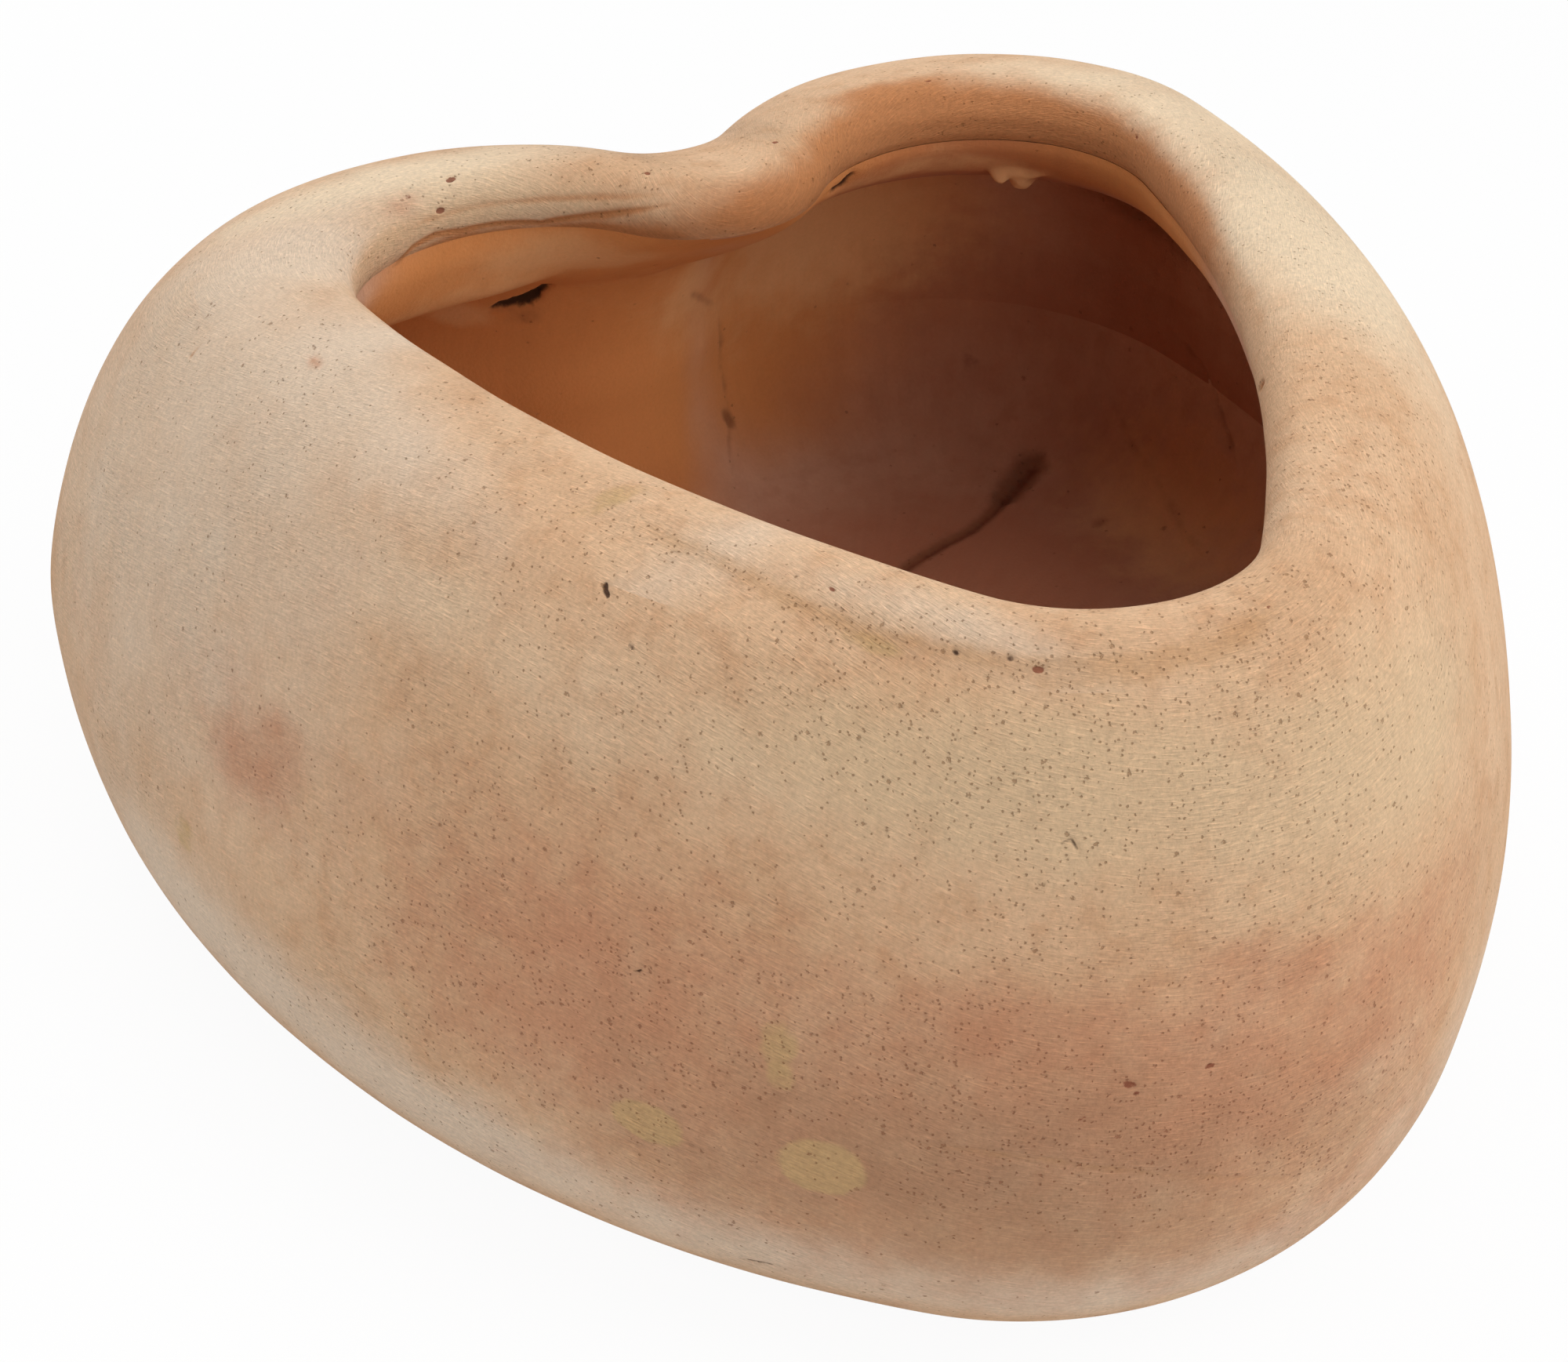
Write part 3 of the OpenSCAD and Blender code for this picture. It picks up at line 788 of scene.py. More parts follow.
    INSIDE_SCORES = (
        # bare orange clay all along what hangs from the lip
        Score(HANGING_CLAY, 16.0, 0.0, Paint.ORANGE, 1.0),
        # torn gaps where the coil was not pressed home, darkened with painted shade
        Score(((-28, 124.5, 77.5), (-25, 121.5, 79.5), (-22, 119, 81), (-20, 116, 83), (-18.5, 112.5, 86),
               (-18, 108, 90)), 1.1, 2.0, Paint.GAP_SHADE, 1.0),
        Score(((-24, 120.5, 80), (-21, 117.5, 81.5), (-19, 114, 84)), 2.0, 1.0, Paint.GAP_SHADE, 0.7),
        Score(((36, 79, 113), (37, 77, 116), (38.5, 75, 120)), 2.2, 1.4, Paint.GAP_SHADE, 1.0),
        Score(((30, 72, 117.5), (34, 75, 117), (38, 77.5, 116.5)), 1.4, 0.8, Paint.GAP_SHADE, 0.8),
        Score(HAIRLINE, 0.8, 0.3, Paint.GRIME_AND_SHADE, 0.9),
        # crack across the floor, wide and smeared at its upper end, with painted shade along it
        Score(FLOOR_CRACK, 2.2, 0.8, Paint.GRIME_AND_SHADE, 1.0),
        Score(FLOOR_CRACK, 0.9, 0.5, Paint.RUST, 0.6),
        Score(((90, 94, 11), (98, 100, 11.5), (104, 103, 13), (109, 104.5, 15)), 3.6, 1.3, Paint.GRIME_AND_SHADE,
              1.0),
        Score(((91, 95, 11), (99, 100, 11.5), (107, 104, 14)), 2.0, 0.6, Paint.RUST, 0.7),
        # finger marks on the right wall and on the ridge
        Score(((123, 105, 32), (124, 89, 22), (122, 73, 19), (120, 57, 15), (120, 43, 16)), 1.6, -0.5,
              Paint.GRIME_AND_SHADE, 0.3),
        Score(((129, 85, 54), (131, 74, 49), (133, 64, 38), (131, 54, 31)), 1.4, 0.6, Paint.GRIME_AND_SHADE, 0.5),
        Score(((20, 119, 73), (24, 124, 69), (28, 128, 65), (32, 132, 61)), 1.3, 0.4, Paint.GRIME_AND_SHADE, 0.45),
        Score(((32, 132, 60), (35, 134, 48), (36, 134, 37), (36.5, 131, 29), (34, 128, 25), (31, 117, 16)),
              1.2, 0.5, Paint.GRIME_AND_SHADE, 0.5),
    )
    WAVE_MM = 62.0
    WAVE_DEPTH = 0.8
    DIMPLE_MM = 17.0
    DIMPLE_DEPTH = 0.22
    DIMPLE_SHIFT = Vector((7.3, 1.9, 4.1))
    # Below this height the clay stays flat, so that the pot stands level
    FOOT_Z = 0.5
    # Marks narrower than these are finer than the rings are apart
    FINE_TOUCH = 4.0
    FINE_SCORE = 2.0
    # How far round such a mark the faces are split, in half lengths for a patch
    FINE_TOUCH_REACH = 2.2
    FINE_SCORE_REACH = 4.0
    FINE_SCORE_STEP = 3.0

    def fine_spots(self) -> list[tuple[np.ndarray, float]]:
        """Middles and radii of the marks that are finer than the rings are apart.

        Returns:
            For each such place its middle and its radius in millimetres.
        """
        spots = [(np.array(t.at, float), self.FINE_TOUCH_REACH * max(t.size))
                 for t in self.SKIN_TOUCHES + self.INSIDE_TOUCHES
                 if t.depth and min(t.size) < self.FINE_TOUCH]
        for score in self.SKIN_SCORES + self.INSIDE_SCORES:
            if score.width < self.FINE_SCORE:
                path = np.array(score.line, float)
                for a, b in zip(path, path[1:]):
                    count = max(int(np.linalg.norm(b - a) / self.FINE_SCORE_STEP), 1)
                    spots += [(a + (b - a) * k / count, self.FINE_SCORE_REACH) for k in range(count + 1)]
        return spots

    def unevenness(self, points: np.ndarray) -> np.ndarray:
        """How far the hand-pressed wall lies inside its true curve, in millimetres.

        Args:
            points: Places on the clay.

        Returns:
            A depth for each point.
        """
        waves = [noise.noise(Vector(p) / self.WAVE_MM) for p in points]
        dimples = [noise.noise(Vector(p) / self.DIMPLE_MM + self.DIMPLE_SHIFT) for p in points]
        return (self.WAVE_DEPTH * (0.5 - 0.5 * np.array(waves))
                + self.DIMPLE_DEPTH * (0.5 - 0.5 * np.array(dimples)))

    def work(self, mesh: bpy.types.Mesh) -> None:
        """Presses the marks into a mesh and lays their colours on as attributes.

        Args:
            mesh: Mesh in metres, with the attributes out and side.
        """
        count = len(mesh.vertices)
        points, out, side = np.empty(count * 3), np.empty(count * 3), np.empty(count)
        mesh.vertices.foreach_get("co", points)
        mesh.attributes["out"].data.foreach_get("vector", out)
        mesh.attributes["side"].data.foreach_get("value", side)
        points, out = points.reshape(-1, 3) / MM, out.reshape(-1, 3)
        length = np.linalg.norm(out, axis=1)
        out = out / np.maximum(length, 1e-9)[:, None]
        # points inside the clay have no outward direction
        open_air = length > 0.5
        depth = np.where(open_air & (points[:, 2] > self.FOOT_Z), self.unevenness(points), 0.0)
        colours = {paint: np.zeros(count) for paint in Paint}
        for marks, inside in ((self.SKIN_TOUCHES + self.SKIN_SCORES, False),
                              (self.INSIDE_TOUCHES + self.INSIDE_SCORES, True)):
            here = np.flatnonzero(open_air & ((side > 0.5) == inside))
            if not len(here):
                continue
            for mark in marks:
                share = mark.share(points[here], out[here])
                depth[here] += mark.depth * share
                if mark.paint:
                    seen = colours[mark.paint]
                    seen[here] = 1 - (1 - seen[here]) * (1 - np.clip(mark.strength * share, 0, 1))
        points -= out * depth[:, None]
        mesh.vertices.foreach_set("co", (points * MM).ravel())
        for paint, values in colours.items():
            mesh.attributes.new(paint.value, "FLOAT", "POINT").data.foreach_set("value", values)
        for spare in ("out", "side"):
            mesh.attributes.remove(mesh.attributes[spare])
        mesh.update()


# ---- Pieces of clay ----

@dataclass
class ClayPiece:
    """One lump of clay: a closed run of stretches, and the node that it stands for."""

    name: str
    node: str
    slot: str
    loop: list[Stretch]

    def _grid(self) -> bmesh.types.BMesh:
        """A grid laid on the rings, welded into a closed solid ring of clay.

        Returns:
            A bmesh in metres with the layers out, comb and side.
        """
        rows, out, comb, side, faces = [], [], [], [], []
        for stretch in self.loop:
            # a stretch that goes on from the last one in the open shares its ring
            shared = (rows and Finish.HIDDEN not in (stretch.finish, faces[-1])
                      and np.allclose(rows[-1][-1], stretch.rows[0]))
            fresh = slice(1 if shared else 0, None)
            rows.append(stretch.rows[fresh])
            out.append(stretch.out[fresh])
            comb.append(stretch.comb[fresh])
            side.append(np.full(len(rows[-1]), float(stretch.finish is Finish.INSIDE)))
            faces += [stretch.finish] * len(rows[-1])
        place = np.concatenate(rows + [rows[0][:1]]) * MM
        out_all, comb_all = np.concatenate(out + [out[0][:1]]), np.concatenate(comb + [comb[0][:1]])
        side_all = np.concatenate(side + [side[0][:1]])
        count = len(place) - 1
        wrap = np.arange(COLUMNS + 1) % COLUMNS
        bm = bmesh.new()
        layers = bm.verts.layers
        out_layer, comb_layer = layers.float_vector.new("out"), layers.float_vector.new("comb")
        side_layer = layers.float.new("side")
        bmesh.ops.create_grid(bm, x_segments=COLUMNS, y_segments=count, size=0.5)
        for index, vert in enumerate(bm.verts):
            row, column = divmod(index, COLUMNS + 1)
            vert.co = place[row, wrap[column]]
            vert[out_layer] = out_all[row, wrap[column]]
            vert[comb_layer] = comb_all[row, wrap[column]]
            vert[side_layer] = side_all[row]
        hidden = bm.faces.layers.int.new("hidden")
        for index, face in enumerate(bm.faces):
            row = index // COLUMNS
            kinds = (faces[row], faces[(row + 1) % count])
            face[hidden] = int(Finish.HIDDEN in kinds)
            face.material_index = int(kinds[0] is not Finish.SKIN or face[hidden])
            face.smooth = True
        bmesh.ops.remove_doubles(bm, verts=bm.verts, dist=WELD)
        return bm

    @staticmethod
    def _refine(bm: bmesh.types.BMesh, spots: list[tuple[np.ndarray, float]]) -> None:
        """Splits the faces finer round the small marks.

        Args:
            bm: The piece in metres.
            spots: Middles and radii of the marks in millimetres.
        """
        for _ in range(REFINE_PASSES):
            bm.verts.index_update()
            places = np.array([v.co for v in bm.verts]) / MM
            near = np.zeros(len(places), bool)
            for middle, radius in spots:
                near |= ((places - middle) ** 2).sum(axis=1) < radius ** 2
            edges = [e for e in bm.edges if near[e.verts[0].index] and near[e.verts[1].index]]
            if edges:
                bmesh.ops.subdivide_edges(bm, edges=edges, cuts=1, use_grid_fill=True)

    def build(self, hand: PotterHand, finishes: list[bpy.types.Material]) -> bpy.types.Object:
        """Makes the piece and puts it in the place of its node.

        Args:
            hand: What presses the marks in.
            finishes: The skin's material and the inside's.

        Returns:
            The finished object.
        """
        bm = self._grid()
        self._refine(bm, hand.fine_spots())
        hidden = bm.faces.layers.int["hidden"]
        for edge in bm.edges:
            kinds = {face[hidden] for face in edge.link_faces}
            edge.smooth = len(kinds) == 1
        bmesh.ops.recalc_face_normals(bm, faces=bm.faces)
        mesh = bpy.data.meshes.new(self.name)
        bm.to_mesh(mesh)
        bm.free()
        mesh.attributes.remove(mesh.attributes["hidden"])
        for material in finishes:
            mesh.materials.append(material)
        hand.work(mesh)
        piece = bpy.data.objects.new(self.name, mesh)
        bpy.context.scene.collection.objects.link(piece)
        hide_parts(self.node)
        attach(piece, "root")
        LOG.info("%s: %d faces stand for %s", self.name, len(mesh.polygons), self.node)
        return piece


def clay_pieces(surface: PotSurface) -> list[ClayPiece]:
    """The five lumps of clay that the pot was joined from.

    Args:
        surface: The pot's rings.

    Returns:
        The pieces in the order in which the potter made them.
    """
    belly, joint = surface.buried(surface.belly_ring), surface.buried(surface.joint_ring)
    under_lip, lip_under = surface.buried(surface.under_lip), surface.buried(surface.under_lip[::-1])
    part = surface.stretch
    return [
        ClayPiece("lower_bowl_clay", "lower_bowl", "terracotta_body",
                  [part("sole"), part("bowl"), belly, part("bowl_inside"), part("floor"), part("hole")]),
        ClayPiece("upper_shoulder_clay", "upper_shoulder", "terracotta_body",
                  [part("shoulder"), joint, part("wall"), belly]),
        ClayPiece("lip_coil_clay", "lip_coil", "terracotta_lip",
                  [part("lip_back"), part("roll"), under_lip, joint]),
        ClayPiece("lip_strip_clay", "lip_strip", "terracotta_slip", [part("lip_strip"), joint, lip_under]),
        ClayPiece("belly_strip_clay", "belly_strip", "terracotta_slip", [part("belly_strip"), belly]),
    ]


# ---- Finishes ----

def srgb(code: str) -> tuple[float, float, float, float]:
    """Turns an sRGB hex colour to the linear values that a shader takes.

    Args:
        code: The colour as #RRGGBB.

    Returns:
        Red, green, blue and an alpha of 1.
    """
    values = [int(code[i:i + 2], 16) / 255 for i in (1, 3, 5)]
    linear = [v / 12.92 if v <= 0.04045 else ((v + 0.055) / 1.055) ** 2.4 for v in values]
    return (*linear, 1.0)


def add_node(tree: Tree, kind: str, settings: dict | None = None,
             inputs: dict | None = None) -> bpy.types.Node:
    """Adds a node with its settings and links.

    Args:
        tree: The material's node tree.
        kind: The node's type.
        settings: Values of its properties.
        inputs: For an input's name or number, a value or the socket that feeds it.

    Returns:
        The node.
    """
    node = tree.nodes.new(kind)
    for name, value in (settings or {}).items():
        setattr(node, name, value)
    for key, value in (inputs or {}).items():
        if isinstance(value, Socket):
            tree.links.new(value, node.inputs[key])
        else:
            node.inputs[key].default_value = value
    return node


def worked(tree: Tree, operation: str, *values: Socket | float) -> Socket:
    """The result of one sum on sockets or numbers."""
    return add_node(tree, "ShaderNodeMath", {"operation": operation}, dict(enumerate(values))).outputs[0]


def either(tree: Tree, marks: list[Socket]) -> Socket:
    """The stronger of two marks at each point."""
    return worked(tree, "MAXIMUM", *marks)


def blended(tree: Tree, share: Socket, under: Socket | tuple, over: Socket | tuple) -> Socket:
    """One colour laid over another by a share from 0 to 1."""
    return add_node(tree, "ShaderNodeMix", {"data_type": "RGBA"}, {0: share, 6: under, 7: over}).outputs[2]


def ramp(tree: Tree, value: Socket, low: float, high: float, top: float = 1.0) -> Socket:
    """A soft step from 0 to top between two values."""
    return add_node(tree, "ShaderNodeMapRange", {"interpolation_type": "SMOOTHSTEP"},
                    {0: value, 1: low, 2: high, 3: 0.0, 4: top}).outputs[0]


def attribute(tree: Tree, name: str, output: str = "Fac") -> Socket:
    """An attribute of the mesh, as a number or from its output Vector as a vector."""
    return add_node(tree, "ShaderNodeAttribute", {"attribute_name": name}).outputs[output]


def placed(tree: Tree, place: Socket, change: dict, kind: str = "POINT") -> Socket:
    """Coordinates moved, turned or scaled for a pattern."""
    return add_node(tree, "ShaderNodeMapping", {"vector_type": kind}, {"Vector": place, **change}).outputs[0]


def noise_on(tree: Tree, place: Socket, dimensions: str, detail: float, roughness: float) -> Socket:
    """Noise from 0 to 1 with lumps about one unit of its coordinates across."""
    return add_node(tree, "ShaderNodeTexNoise", {"noise_dimensions": dimensions},
                    {"Vector": place, "Scale": 1.0, "Detail": detail, "Roughness": roughness}).outputs[0]


def lumps(tree: Tree, place: Socket, grain_mm: float, detail: float, shift: float) -> Socket:
    """Noise from 0 to 1 whose lumps are about grain_mm across, on coordinates in millimetres."""
    moved = placed(tree, place, {"Location": (shift, shift * 0.7, -shift), "Scale": (1 / grain_mm,) * 3})
    return noise_on(tree, moved, "3D", detail, 0.55)


def blank_material(name: str) -> tuple[bpy.types.Material, Tree]:
    """A new material and its node tree, which is still empty.

    Args:
        name: The material's name.

    Returns:
        The material and the tree.
    """
    material = bpy.data.materials.new(name)
    material.use_nodes = True
    material.node_tree.nodes.clear()
    return material, material.node_tree


@dataclass(frozen=True)
class Wash:
    """One colour over the clay where an attribute says so.

    low and high are the values between which it comes in, ragged how far noise eats its edge,
    grain the size of that noise in millimetres and cover how much it hides.
    """

    paint: Paint
    colour: str
    low: float
    high: float
    cover: float
    ragged: float
    grain: float


@dataclass(frozen=True)
class Mottle:
    """Noise in lumps of grain_mm, turned to patches by a soft step from 0 at low to top at high.

    detail is how fine it goes on inside a lump, and shift keeps it apart from other patterns.
    """

    grain_mm: float
    detail: float
    shift: float
    low: float
    high: float
    top: float = 1.0

    def patches(self, tree: Tree, place: Socket) -> Socket:
        """How much of the patches each point has, from 0 to top."""
        return ramp(tree, lumps(tree, place, self.grain_mm, self.detail, self.shift),
                    self.low, self.high, self.top)


# Patches of the ground's light and dark tones, of stronger strokes and of specks
BROAD_MOTTLE = Mottle(38.0, 4.0, 0.0, 0.38, 0.66, 0.8)
SMALL_MOTTLE = Mottle(6.0, 5.0, 31.0, 0.44, 0.7, 0.45)
STROKE_PATCHES = Mottle(30.0, 2.0, 53.0, 0.3, 0.7)
SPECK_PATCHES = Mottle(26.0, 3.0, 77.0, 0.35, 0.7)
# How strong a mark has to be before noise alone decides where its wash ends
WASH_FOOT = 0.12
# How much stronger the strokes are in their patches, and how strong they are between them
STROKE_GAIN, STROKE_LEAST = 0.9, 0.35
# Length, height and slope of the scratches of the sponge's grit, short ones and long ones
NICK_SIZES = ((2.6, 0.4, 0.12), (9.0, 0.42, -0.08))
NICK_STEP = (0.62, 0.76)
# Cell, share of the density and radius, in cells, of the small grains and of the large ones
SPECK_SIZES = ((1.0, 1.0, 0.3), (2.1, 0.35, 0.24))
# Sum of density and a cell's random number from which the cell keeps its grain
SPECK_KEPT = 0.98
# How much readier marked clay is to show specks, and how far noise of which size bends a grain
SPECK_CROWDING, SPECK_BEND, SPECK_BEND_MM = 0.42, 0.25, 0.35
# Size of the grit, and the relief of grit, nicks and specks
GRIT_MM, GRIT_DEPTH, NICK_DEPTH, SPECK_DEPTH = 0.8, 0.2, 0.3, 0.2


@dataclass(frozen=True)
class Clay:
    """Fired, unglazed clay in layers: a mottled ground, washes, fine strokes, specks and grit.

    strokes_mm is the length along the level and the height of one stroke, stroke_tint how much
    lighter or darker it is and stroke_depth its relief in millimetres. grain is how much the
    grit tints the clay, nicks how much the little light scratches show. specks is how readily
    the clay shows pinholes by itself, speck_mm the size of their cells and speck_cover how
    much they hide.
    """

    name: str
    ground: str
    light: str
    dark: str
    washes: tuple[Wash, ...]
    strokes_mm: tuple[float, float]
    stroke_tint: float
    stroke_depth: float
    grain: float
    nicks: float
    specks: float
    speck_mm: float
    speck_cover: float
    speck_colour: str
    hot_speck_colour: str
    roughness: float
    specular: float = 0.25

    def _washed(self, tree: Tree, place: Socket) -> Socket:
        """The ground, mottled in lumps of 38 mm and 6 mm, under washes with edges eaten by noise.

        Args:
            tree: The material's node tree.
            place: Coordinates in millimetres.

        Returns:
            The colour.
        """
        broad, small = BROAD_MOTTLE.patches(tree, place), SMALL_MOTTLE.patches(tree, place)
        colour = blended(tree, broad, srgb(self.ground), srgb(self.light))
        colour = blended(tree, small, colour, srgb(self.dark))
        for number, wash in enumerate(self.washes):
            amount = attribute(tree, wash.paint.value)
            edge = lumps(tree, place, wash.grain, 4.0, 11.0 * number + 5.0)
            worn = worked(tree, "ADD", amount,
                          worked(tree, "MULTIPLY_ADD", edge, 2 * wash.ragged, -wash.ragged))
            held = worked(tree, "MULTIPLY", ramp(tree, worn, wash.low, wash.high, wash.cover),
                          ramp(tree, amount, 0.0, WASH_FOOT))
            colour = blended(tree, held, colour, srgb(wash.colour))
        return colour

    def _strokes(self, tree: Tree, place: Socket) -> Socket:
        """Short fine strokes along the rings, about -0.5 to 0.5, fainter in some places.

        Args:
            tree: The material's node tree.
            place: Coordinates in millimetres.

        Returns:
            How light or dark each point is.
        """
        long, high = self.strokes_mm
        run = placed(tree, attribute(tree, "comb", "Vector"), {"Scale": (1 / long, 1 / high, 1.0)})
        lines = noise_on(tree, run, "2D", 2.0, 0.6)
        strength = worked(tree, "MULTIPLY_ADD", STROKE_PATCHES.patches(tree, place), STROKE_GAIN,
                          STROKE_LEAST)
        return worked(tree, "MULTIPLY", worked(tree, "SUBTRACT", lines, 0.5), strength)

    @staticmethod
    def _nicks(tree: Tree) -> Socket:
        """Light scratches of two lengths where the sponge's grit has scored the clay, 0 to 1.

        Args:
            tree: The material's node tree.

        Returns:
            How much of a scratch each point has.
        """
        comb = attribute(tree, "comb", "Vector")
        runs = [placed(tree, comb, {"Rotation": (0.0, 0.0, turn), "Scale": (long, high, 1.0)}, "TEXTURE")
                for long, high, turn in NICK_SIZES]
        return either(tree, [ramp(tree, noise_on(tree, run, "2D", 1.0, 0.5), *NICK_STEP) for run in runs])

    def _specks(self, tree: Tree, place: Socket) -> Socket:
        """Pinholes and grains of uneven shape, crowded where the pore marks and the marks of grime and
        painted shade say.

        Each cell of speck_mm, and each of 2.1 times that, holds one grain. It keeps the grain
        where the density and the cell's own random number together are high enough.

        Args:
            tree: The material's node tree.
            place: Coordinates in millimetres.

        Returns:
            How much of a speck each point has.
        """
        crowd = worked(tree, "MINIMUM", 1.0, worked(tree, "ADD", attribute(tree, Paint.PORES.value),
                                                    attribute(tree, Paint.GRIME_AND_SHADE.value)))
        density = worked(tree, "MULTIPLY_ADD", SPECK_PATCHES.patches(tree, place), self.specks,
                         worked(tree, "MULTIPLY", crowd, SPECK_CROWDING))
        bend = worked(tree, "MULTIPLY_ADD", lumps(tree, place, SPECK_BEND_MM, 1.0, 19.0),
                      2 * SPECK_BEND, -SPECK_BEND)
        marks = []
        for size, share, reach in SPECK_SIZES:
            cell = placed(tree, place, {"Scale": (1 / (size * self.speck_mm),) * 3})
            grains = add_node(tree, "ShaderNodeTexVoronoi", {"voronoi_dimensions": "3D"},
                              {"Vector": cell, "Scale": 1.0})
            chance = add_node(tree, "ShaderNodeSeparateColor", None, {0: grains.outputs["Color"]}).outputs[0]
            kept = ramp(tree, worked(tree, "MULTIPLY_ADD", density, share, chance), SPECK_KEPT, 1.0)
            near = ramp(tree, worked(tree, "ADD", grains.outputs["Distance"], bend), reach, 0.5 * reach)
            marks.append(worked(tree, "MULTIPLY", kept, near))
        return either(tree, marks)

    def make(self) -> bpy.types.Material:
        """Builds the material.

        Returns:
            A material whose patterns are fixed to the clay, with sizes in millimetres.
        """
        material, tree = blank_material(self.name)
        space = add_node(tree, "ShaderNodeTexCoord").outputs["Object"]
        place = placed(tree, space, {"Scale": (1 / MM,) * 3})
        strokes, nicks, specks = self._strokes(tree, place), self._nicks(tree), self._specks(tree, place)
        grit = lumps(tree, place, GRIT_MM, 2.0, 3.0)
        tint = worked(tree, "MULTIPLY_ADD", grit, 2 * self.grain,
                      worked(tree, "MULTIPLY_ADD", strokes, 2 * self.stroke_tint, 1.0 - self.grain))
        tint = worked(tree, "MULTIPLY_ADD", nicks, self.nicks, tint)
        colour = add_node(tree, "ShaderNodeVectorMath", {"operation": "SCALE"},
                          {"Vector": self._washed(tree, place), "Scale": tint}).outputs[0]
        speck_colour = blended(tree, attribute(tree, Paint.BLUSH_AND_SHADE.value), srgb(self.speck_colour),
                               srgb(self.hot_speck_colour))
        colour = blended(tree, worked(tree, "MULTIPLY", specks, self.speck_cover), colour, speck_colour)

        # one relief in millimetres: strokes and nicks, grit, and specks that are little holes
        height = worked(tree, "MULTIPLY_ADD", strokes, self.stroke_depth,
                        worked(tree, "MULTIPLY", grit, GRIT_DEPTH))
        height = worked(tree, "MULTIPLY_ADD", nicks, NICK_DEPTH * self.nicks, height)
        height = worked(tree, "MULTIPLY_ADD", specks, -SPECK_DEPTH, height)
        bumped = add_node(tree, "ShaderNodeBump", None,
                          {"Strength": 1.0, "Distance": MM, "Height": height}).outputs[0]
        shader = add_node(tree, "ShaderNodeBsdfPrincipled", None, {
            "Base Color": colour, "Roughness": self.roughness, "Specular IOR Level": self.specular,
            "Diffuse Roughness": 0.6, "Normal": bumped})
        add_node(tree, "ShaderNodeOutputMaterial", None, {"Surface": shader.outputs[0]})
        return material


# Fired terracotta, pressed in two halves and wiped with a wet sponge: chalky and quite dull. The
# sponge drags the fine clay into level strokes of about 3.5 mm by 0.35 mm, nicks it with its own
# grit and opens pinholes of half a millimetre, brown as a rule and rusty where the kiln reddened
# the clay. Seen from afar it looks soft and dusty, from near like fine sandpaper.
SPONGED_TERRACOTTA = Clay(
    name="sponged_terracotta",
    ground="#D3AC87", light="#DBB895", dark="#C4956E",
    washes=(
        # paler, warmer clay, and painted light on the lip's lower face
        Wash(Paint.WARM_AND_LIGHT, "#E8D5B8", 0.1, 0.9, 0.8, 0.25, 16.0),
        Wash(Paint.BUFF, "#D6BA96", 0.1, 0.9, 0.8, 0.3, 12.0),
        Wash(Paint.CREAM, "#DCC7B0", 0.1, 0.9, 0.9, 0.25, 14.0),
        # rosy patches, and painted shade low on the front
        Wash(Paint.BLUSH_AND_SHADE, "#C08765", 0.1, 1.0, 0.85, 0.35, 8.0),
        Wash(Paint.ORANGE, "#BE8050", 0.1, 0.9, 0.95, 0.2, 6.0),
        # painted shade, duller and darker low on the front
        Wash(Paint.LOW_FRONT_SHADE, "#A27B5D", 0.1, 0.9, 0.8, 0.25, 14.0),
        Wash(Paint.SLIP, "#C4A372", 0.4, 0.7, 0.7, 0.25, 5.0),
        # darker lines and dirt, with painted shade along the joint near the tip
        Wash(Paint.GRIME_AND_SHADE, "#BB8D5E", 0.1, 1.0, 0.45, 0.4, 3.0),
        Wash(Paint.RUST, "#8A4A33", 0.4, 0.7, 0.85, 0.5, 0.8),
        # painted shade in pits, cracks and chips
        Wash(Paint.GAP_SHADE, "#4A2F22", 0.3, 0.7, 0.95, 0.25, 1.0),
    ),
    strokes_mm=(3.5, 0.35), stroke_tint=0.22, stroke_depth=0.2, grain=0.2, nicks=0.14,
    specks=0.19, speck_mm=0.9, speck_cover=0.52, speck_colour="#85592F", hot_speck_colour="#8C4A32",
    roughness=0.88,
)

# The same clay inside, only wiped by hand: more orange, with faint soft upright streaks about 5 mm
# apart, paler where wet clay was smeared over it, with painted light where the walls catch the light
# and painted shade in the right lobe, on the floor and in the torn gaps. It is smoother than the
# outside, as no sponge has opened it, and looks almost like suede.
FINGERED_TERRACOTTA = Clay(
    name="fingered_terracotta",
    ground="#D4A587", light="#DAAE90", dark="#C9987A",
    washes=(
        Wash(Paint.ORANGE, "#DC9558", 0.1, 0.9, 1.0, 0.15, 16.0),
        # painted shade in the right lobe and on the floor
        Wash(Paint.BLOOM, "#B06A4A", 0.1, 0.9, 0.75, 0.25, 22.0),
        # paler smeared clay, and painted light on the walls that catch the light
        Wash(Paint.PALE_AND_LIGHT, "#EAB680", 0.1, 0.9, 0.9, 0.3, 7.0),
        # grime, and painted shadow under the lip on the right wall
        Wash(Paint.GRIME_AND_SHADE, "#8A5638", 0.1, 0.9, 0.75, 0.3, 4.0),
        Wash(Paint.RUST, "#6E3322", 0.2, 0.8, 0.75, 0.3, 3.0),
        # painted shade in the torn gaps
        Wash(Paint.GAP_SHADE, "#2E1D16", 0.25, 0.75, 0.92, 0.3, 1.6),
    ),
    strokes_mm=(5.0, 40.0), stroke_tint=0.05, stroke_depth=0.1, grain=0.06, nicks=0.0,
    specks=0.0, speck_mm=1.6, speck_cover=0.4, speck_colour="#7A4A2E", hot_speck_colour="#7A4A2E",
    roughness=0.9,
)


# ---- Studio ----

# Height at which the lamps aim
AIM_HEIGHT = 60.0
# Width of the camera's sensor in millimetres, and half the width of the table in metres
SENSOR = 36.0
TABLE_HALF = 6.0
WHITE = (1.0, 1.0, 1.0, 1.0)
# How much light the table throws back, and how much of it the camera sees as plain white
PAPER = (0.88, 0.88, 0.88, 1.0)
WHITE_SHARE = 0.94


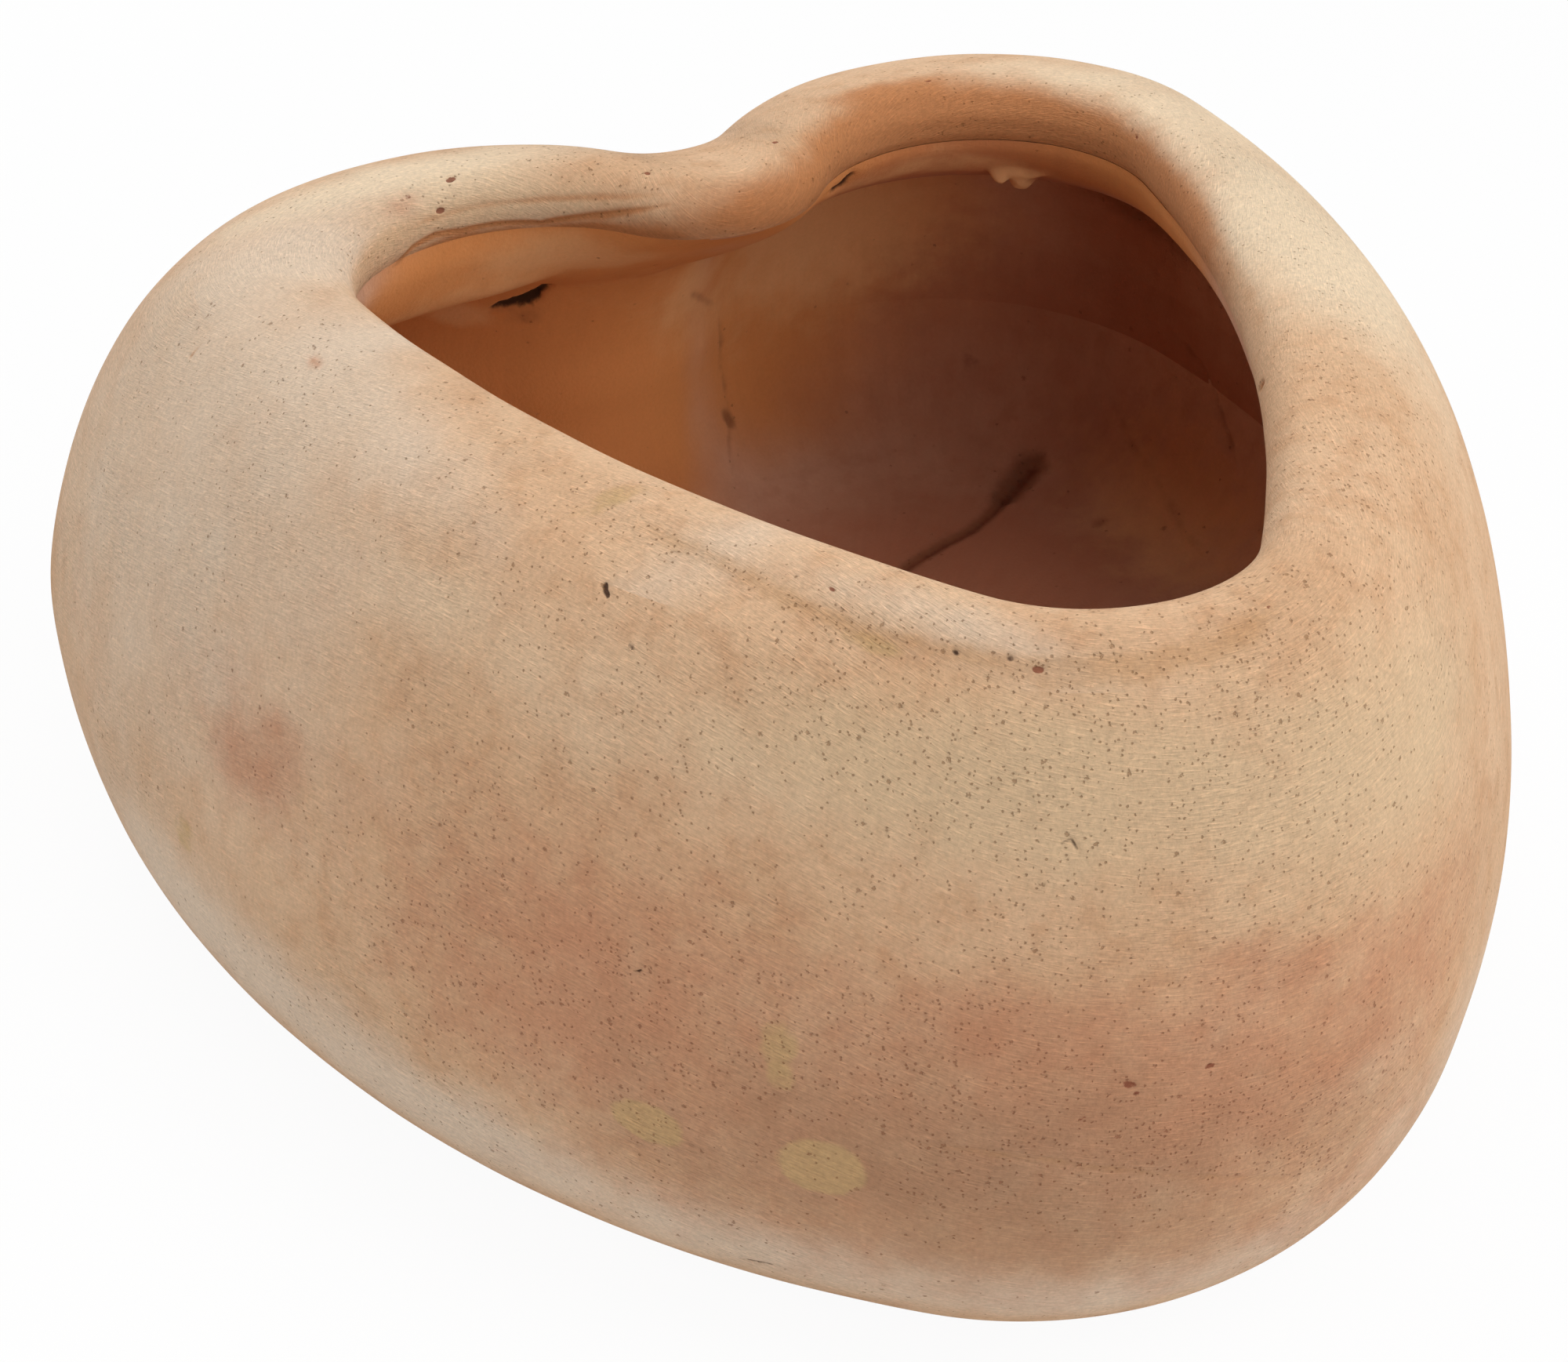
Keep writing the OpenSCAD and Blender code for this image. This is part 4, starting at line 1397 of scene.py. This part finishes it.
def toward(azimuth: float, elevation: float) -> Vector:
    """Unit vector from the pot towards a direction in degrees, azimuth 0 being the front."""
    a, e = math.radians(azimuth), math.radians(elevation)
    return Vector((math.sin(a) * math.cos(e), -math.cos(a) * math.cos(e), math.sin(e)))


@dataclass(frozen=True)
class Lamp:
    """A round soft lamp. level is how bright a white card at the pot looks, 1 being white."""

    name: str
    azimuth: float
    elevation: float
    distance: float
    size: float
    level: float

    def hang(self) -> None:
        """Puts the lamp in its place, turned to the pot."""
        data = bpy.data.lights.new(self.name, "AREA")
        data.shape, data.size = "DISK", self.size * MM
        data.energy = self.level * (math.pi * self.distance * MM) ** 2
        lamp = bpy.data.objects.new(self.name, data)
        way = toward(self.azimuth, self.elevation)
        lamp.location = (way * self.distance + Vector((0.0, 0.0, AIM_HEIGHT))) * MM
        lamp.rotation_mode = "QUATERNION"
        lamp.rotation_quaternion = (-way).to_track_quat("-Z", "Y")
        bpy.context.scene.collection.objects.link(lamp)


@dataclass
class Studio:
    """A white light tent: pale floor, even light and the camera at the photograph's angle."""

    azimuth: float = -25.922
    elevation: float = 36.853
    roll: float = -0.08
    lens: float = 65.53
    distance: float = 638.4
    target: tuple[float, float, float] = (9.55, 48.9, 12.74)
    world_light: float = 0.1
    lamps: tuple[Lamp, ...] = (
        Lamp("overhead", 0.0, 90.0, 1200.0, 1000.0, 0.38),
        Lamp("softbox", 45.0, 50.0, 1200.0, 800.0, 0.41),
        Lamp("window", -5.0, 32.0, 1300.0, 900.0, 0.32),
        Lamp("back", 180.0, 15.0, 1400.0, 1200.0, 0.58),
        Lamp("left", -110.0, 15.0, 1400.0, 1000.0, 0.3),
    )

    def camera(self) -> None:
        """Puts the camera where the photograph was taken from."""
        a, r = math.radians(self.azimuth), math.radians(self.roll)
        back = toward(self.azimuth, self.elevation)
        right = Vector((math.cos(a), math.sin(a), 0.0))
        up = back.cross(right)
        level = right * math.cos(r) + up * math.sin(r)
        upright = up * math.cos(r) - right * math.sin(r)
        data = bpy.data.cameras.new("camera")
        data.sensor_fit, data.sensor_width, data.lens = "HORIZONTAL", SENSOR, self.lens
        data.clip_start, data.clip_end = 0.01, 50.0
        camera = bpy.data.objects.new("camera", data)
        place = (Vector(self.target) + back * self.distance) * MM
        camera.matrix_world = Matrix.Translation(place) @ Matrix((level, upright, back)).transposed().to_4x4()
        bpy.context.scene.collection.objects.link(camera)
        bpy.context.scene.camera = camera

    def floor(self) -> None:
        """A plain white table, which the camera sees as white except for the pot's shadow."""
        mesh = bpy.data.meshes.new("floor")
        bm = bmesh.new()
        bmesh.ops.create_grid(bm, x_segments=1, y_segments=1, size=TABLE_HALF)
        bm.to_mesh(mesh)
        bm.free()
        material, tree = blank_material("white_table")
        paper = add_node(tree, "ShaderNodeBsdfDiffuse", None, {"Color": PAPER})
        white = add_node(tree, "ShaderNodeEmission", None, {"Color": WHITE, "Strength": 1.0})
        seen = add_node(tree, "ShaderNodeLightPath").outputs["Is Camera Ray"]
        mixed = add_node(tree, "ShaderNodeMixShader", None, {
            0: worked(tree, "MULTIPLY", seen, WHITE_SHARE), 1: paper.outputs[0], 2: white.outputs[0]})
        add_node(tree, "ShaderNodeOutputMaterial", None, {"Surface": mixed.outputs[0]})
        mesh.materials.append(material)
        floor = bpy.data.objects.new("floor", mesh)
        bpy.context.scene.collection.objects.link(floor)

    def light(self) -> None:
        """Even white light from all round, with a soft lamp on each side."""
        world = bpy.data.worlds.new("light_tent")
        bpy.context.scene.world = world
        world.use_nodes = True
        tree = world.node_tree
        tree.nodes.clear()
        seen = add_node(tree, "ShaderNodeLightPath").outputs["Is Camera Ray"]
        strength = add_node(tree, "ShaderNodeMapRange", None,
                            {0: seen, 1: 0.0, 2: 1.0, 3: self.world_light, 4: 1.0}).outputs[0]
        sky = add_node(tree, "ShaderNodeBackground", None, {"Color": WHITE, "Strength": strength})
        add_node(tree, "ShaderNodeOutputWorld", None, {"Surface": sky.outputs[0]})
        for lamp in self.lamps:
            lamp.hang()

    def build(self) -> None:
        """Sets up camera, floor and light."""
        self.camera()
        self.floor()
        self.light()
        bpy.context.scene.view_settings.view_transform = "Standard"
        LOG.info("studio is set up")


def main() -> None:
    """Builds the planter and its studio."""
    logging.basicConfig(level=logging.INFO, format="%(name)s: %(message)s")
    Studio().build()
    finishes = [SPONGED_TERRACOTTA.make(), FINGERED_TERRACOTTA.make()]
    hand = PotterHand()
    for piece in clay_pieces(PotSurface(PotForm())):
        piece.build(hand, finishes)


if __name__ == "__main__":
    main()
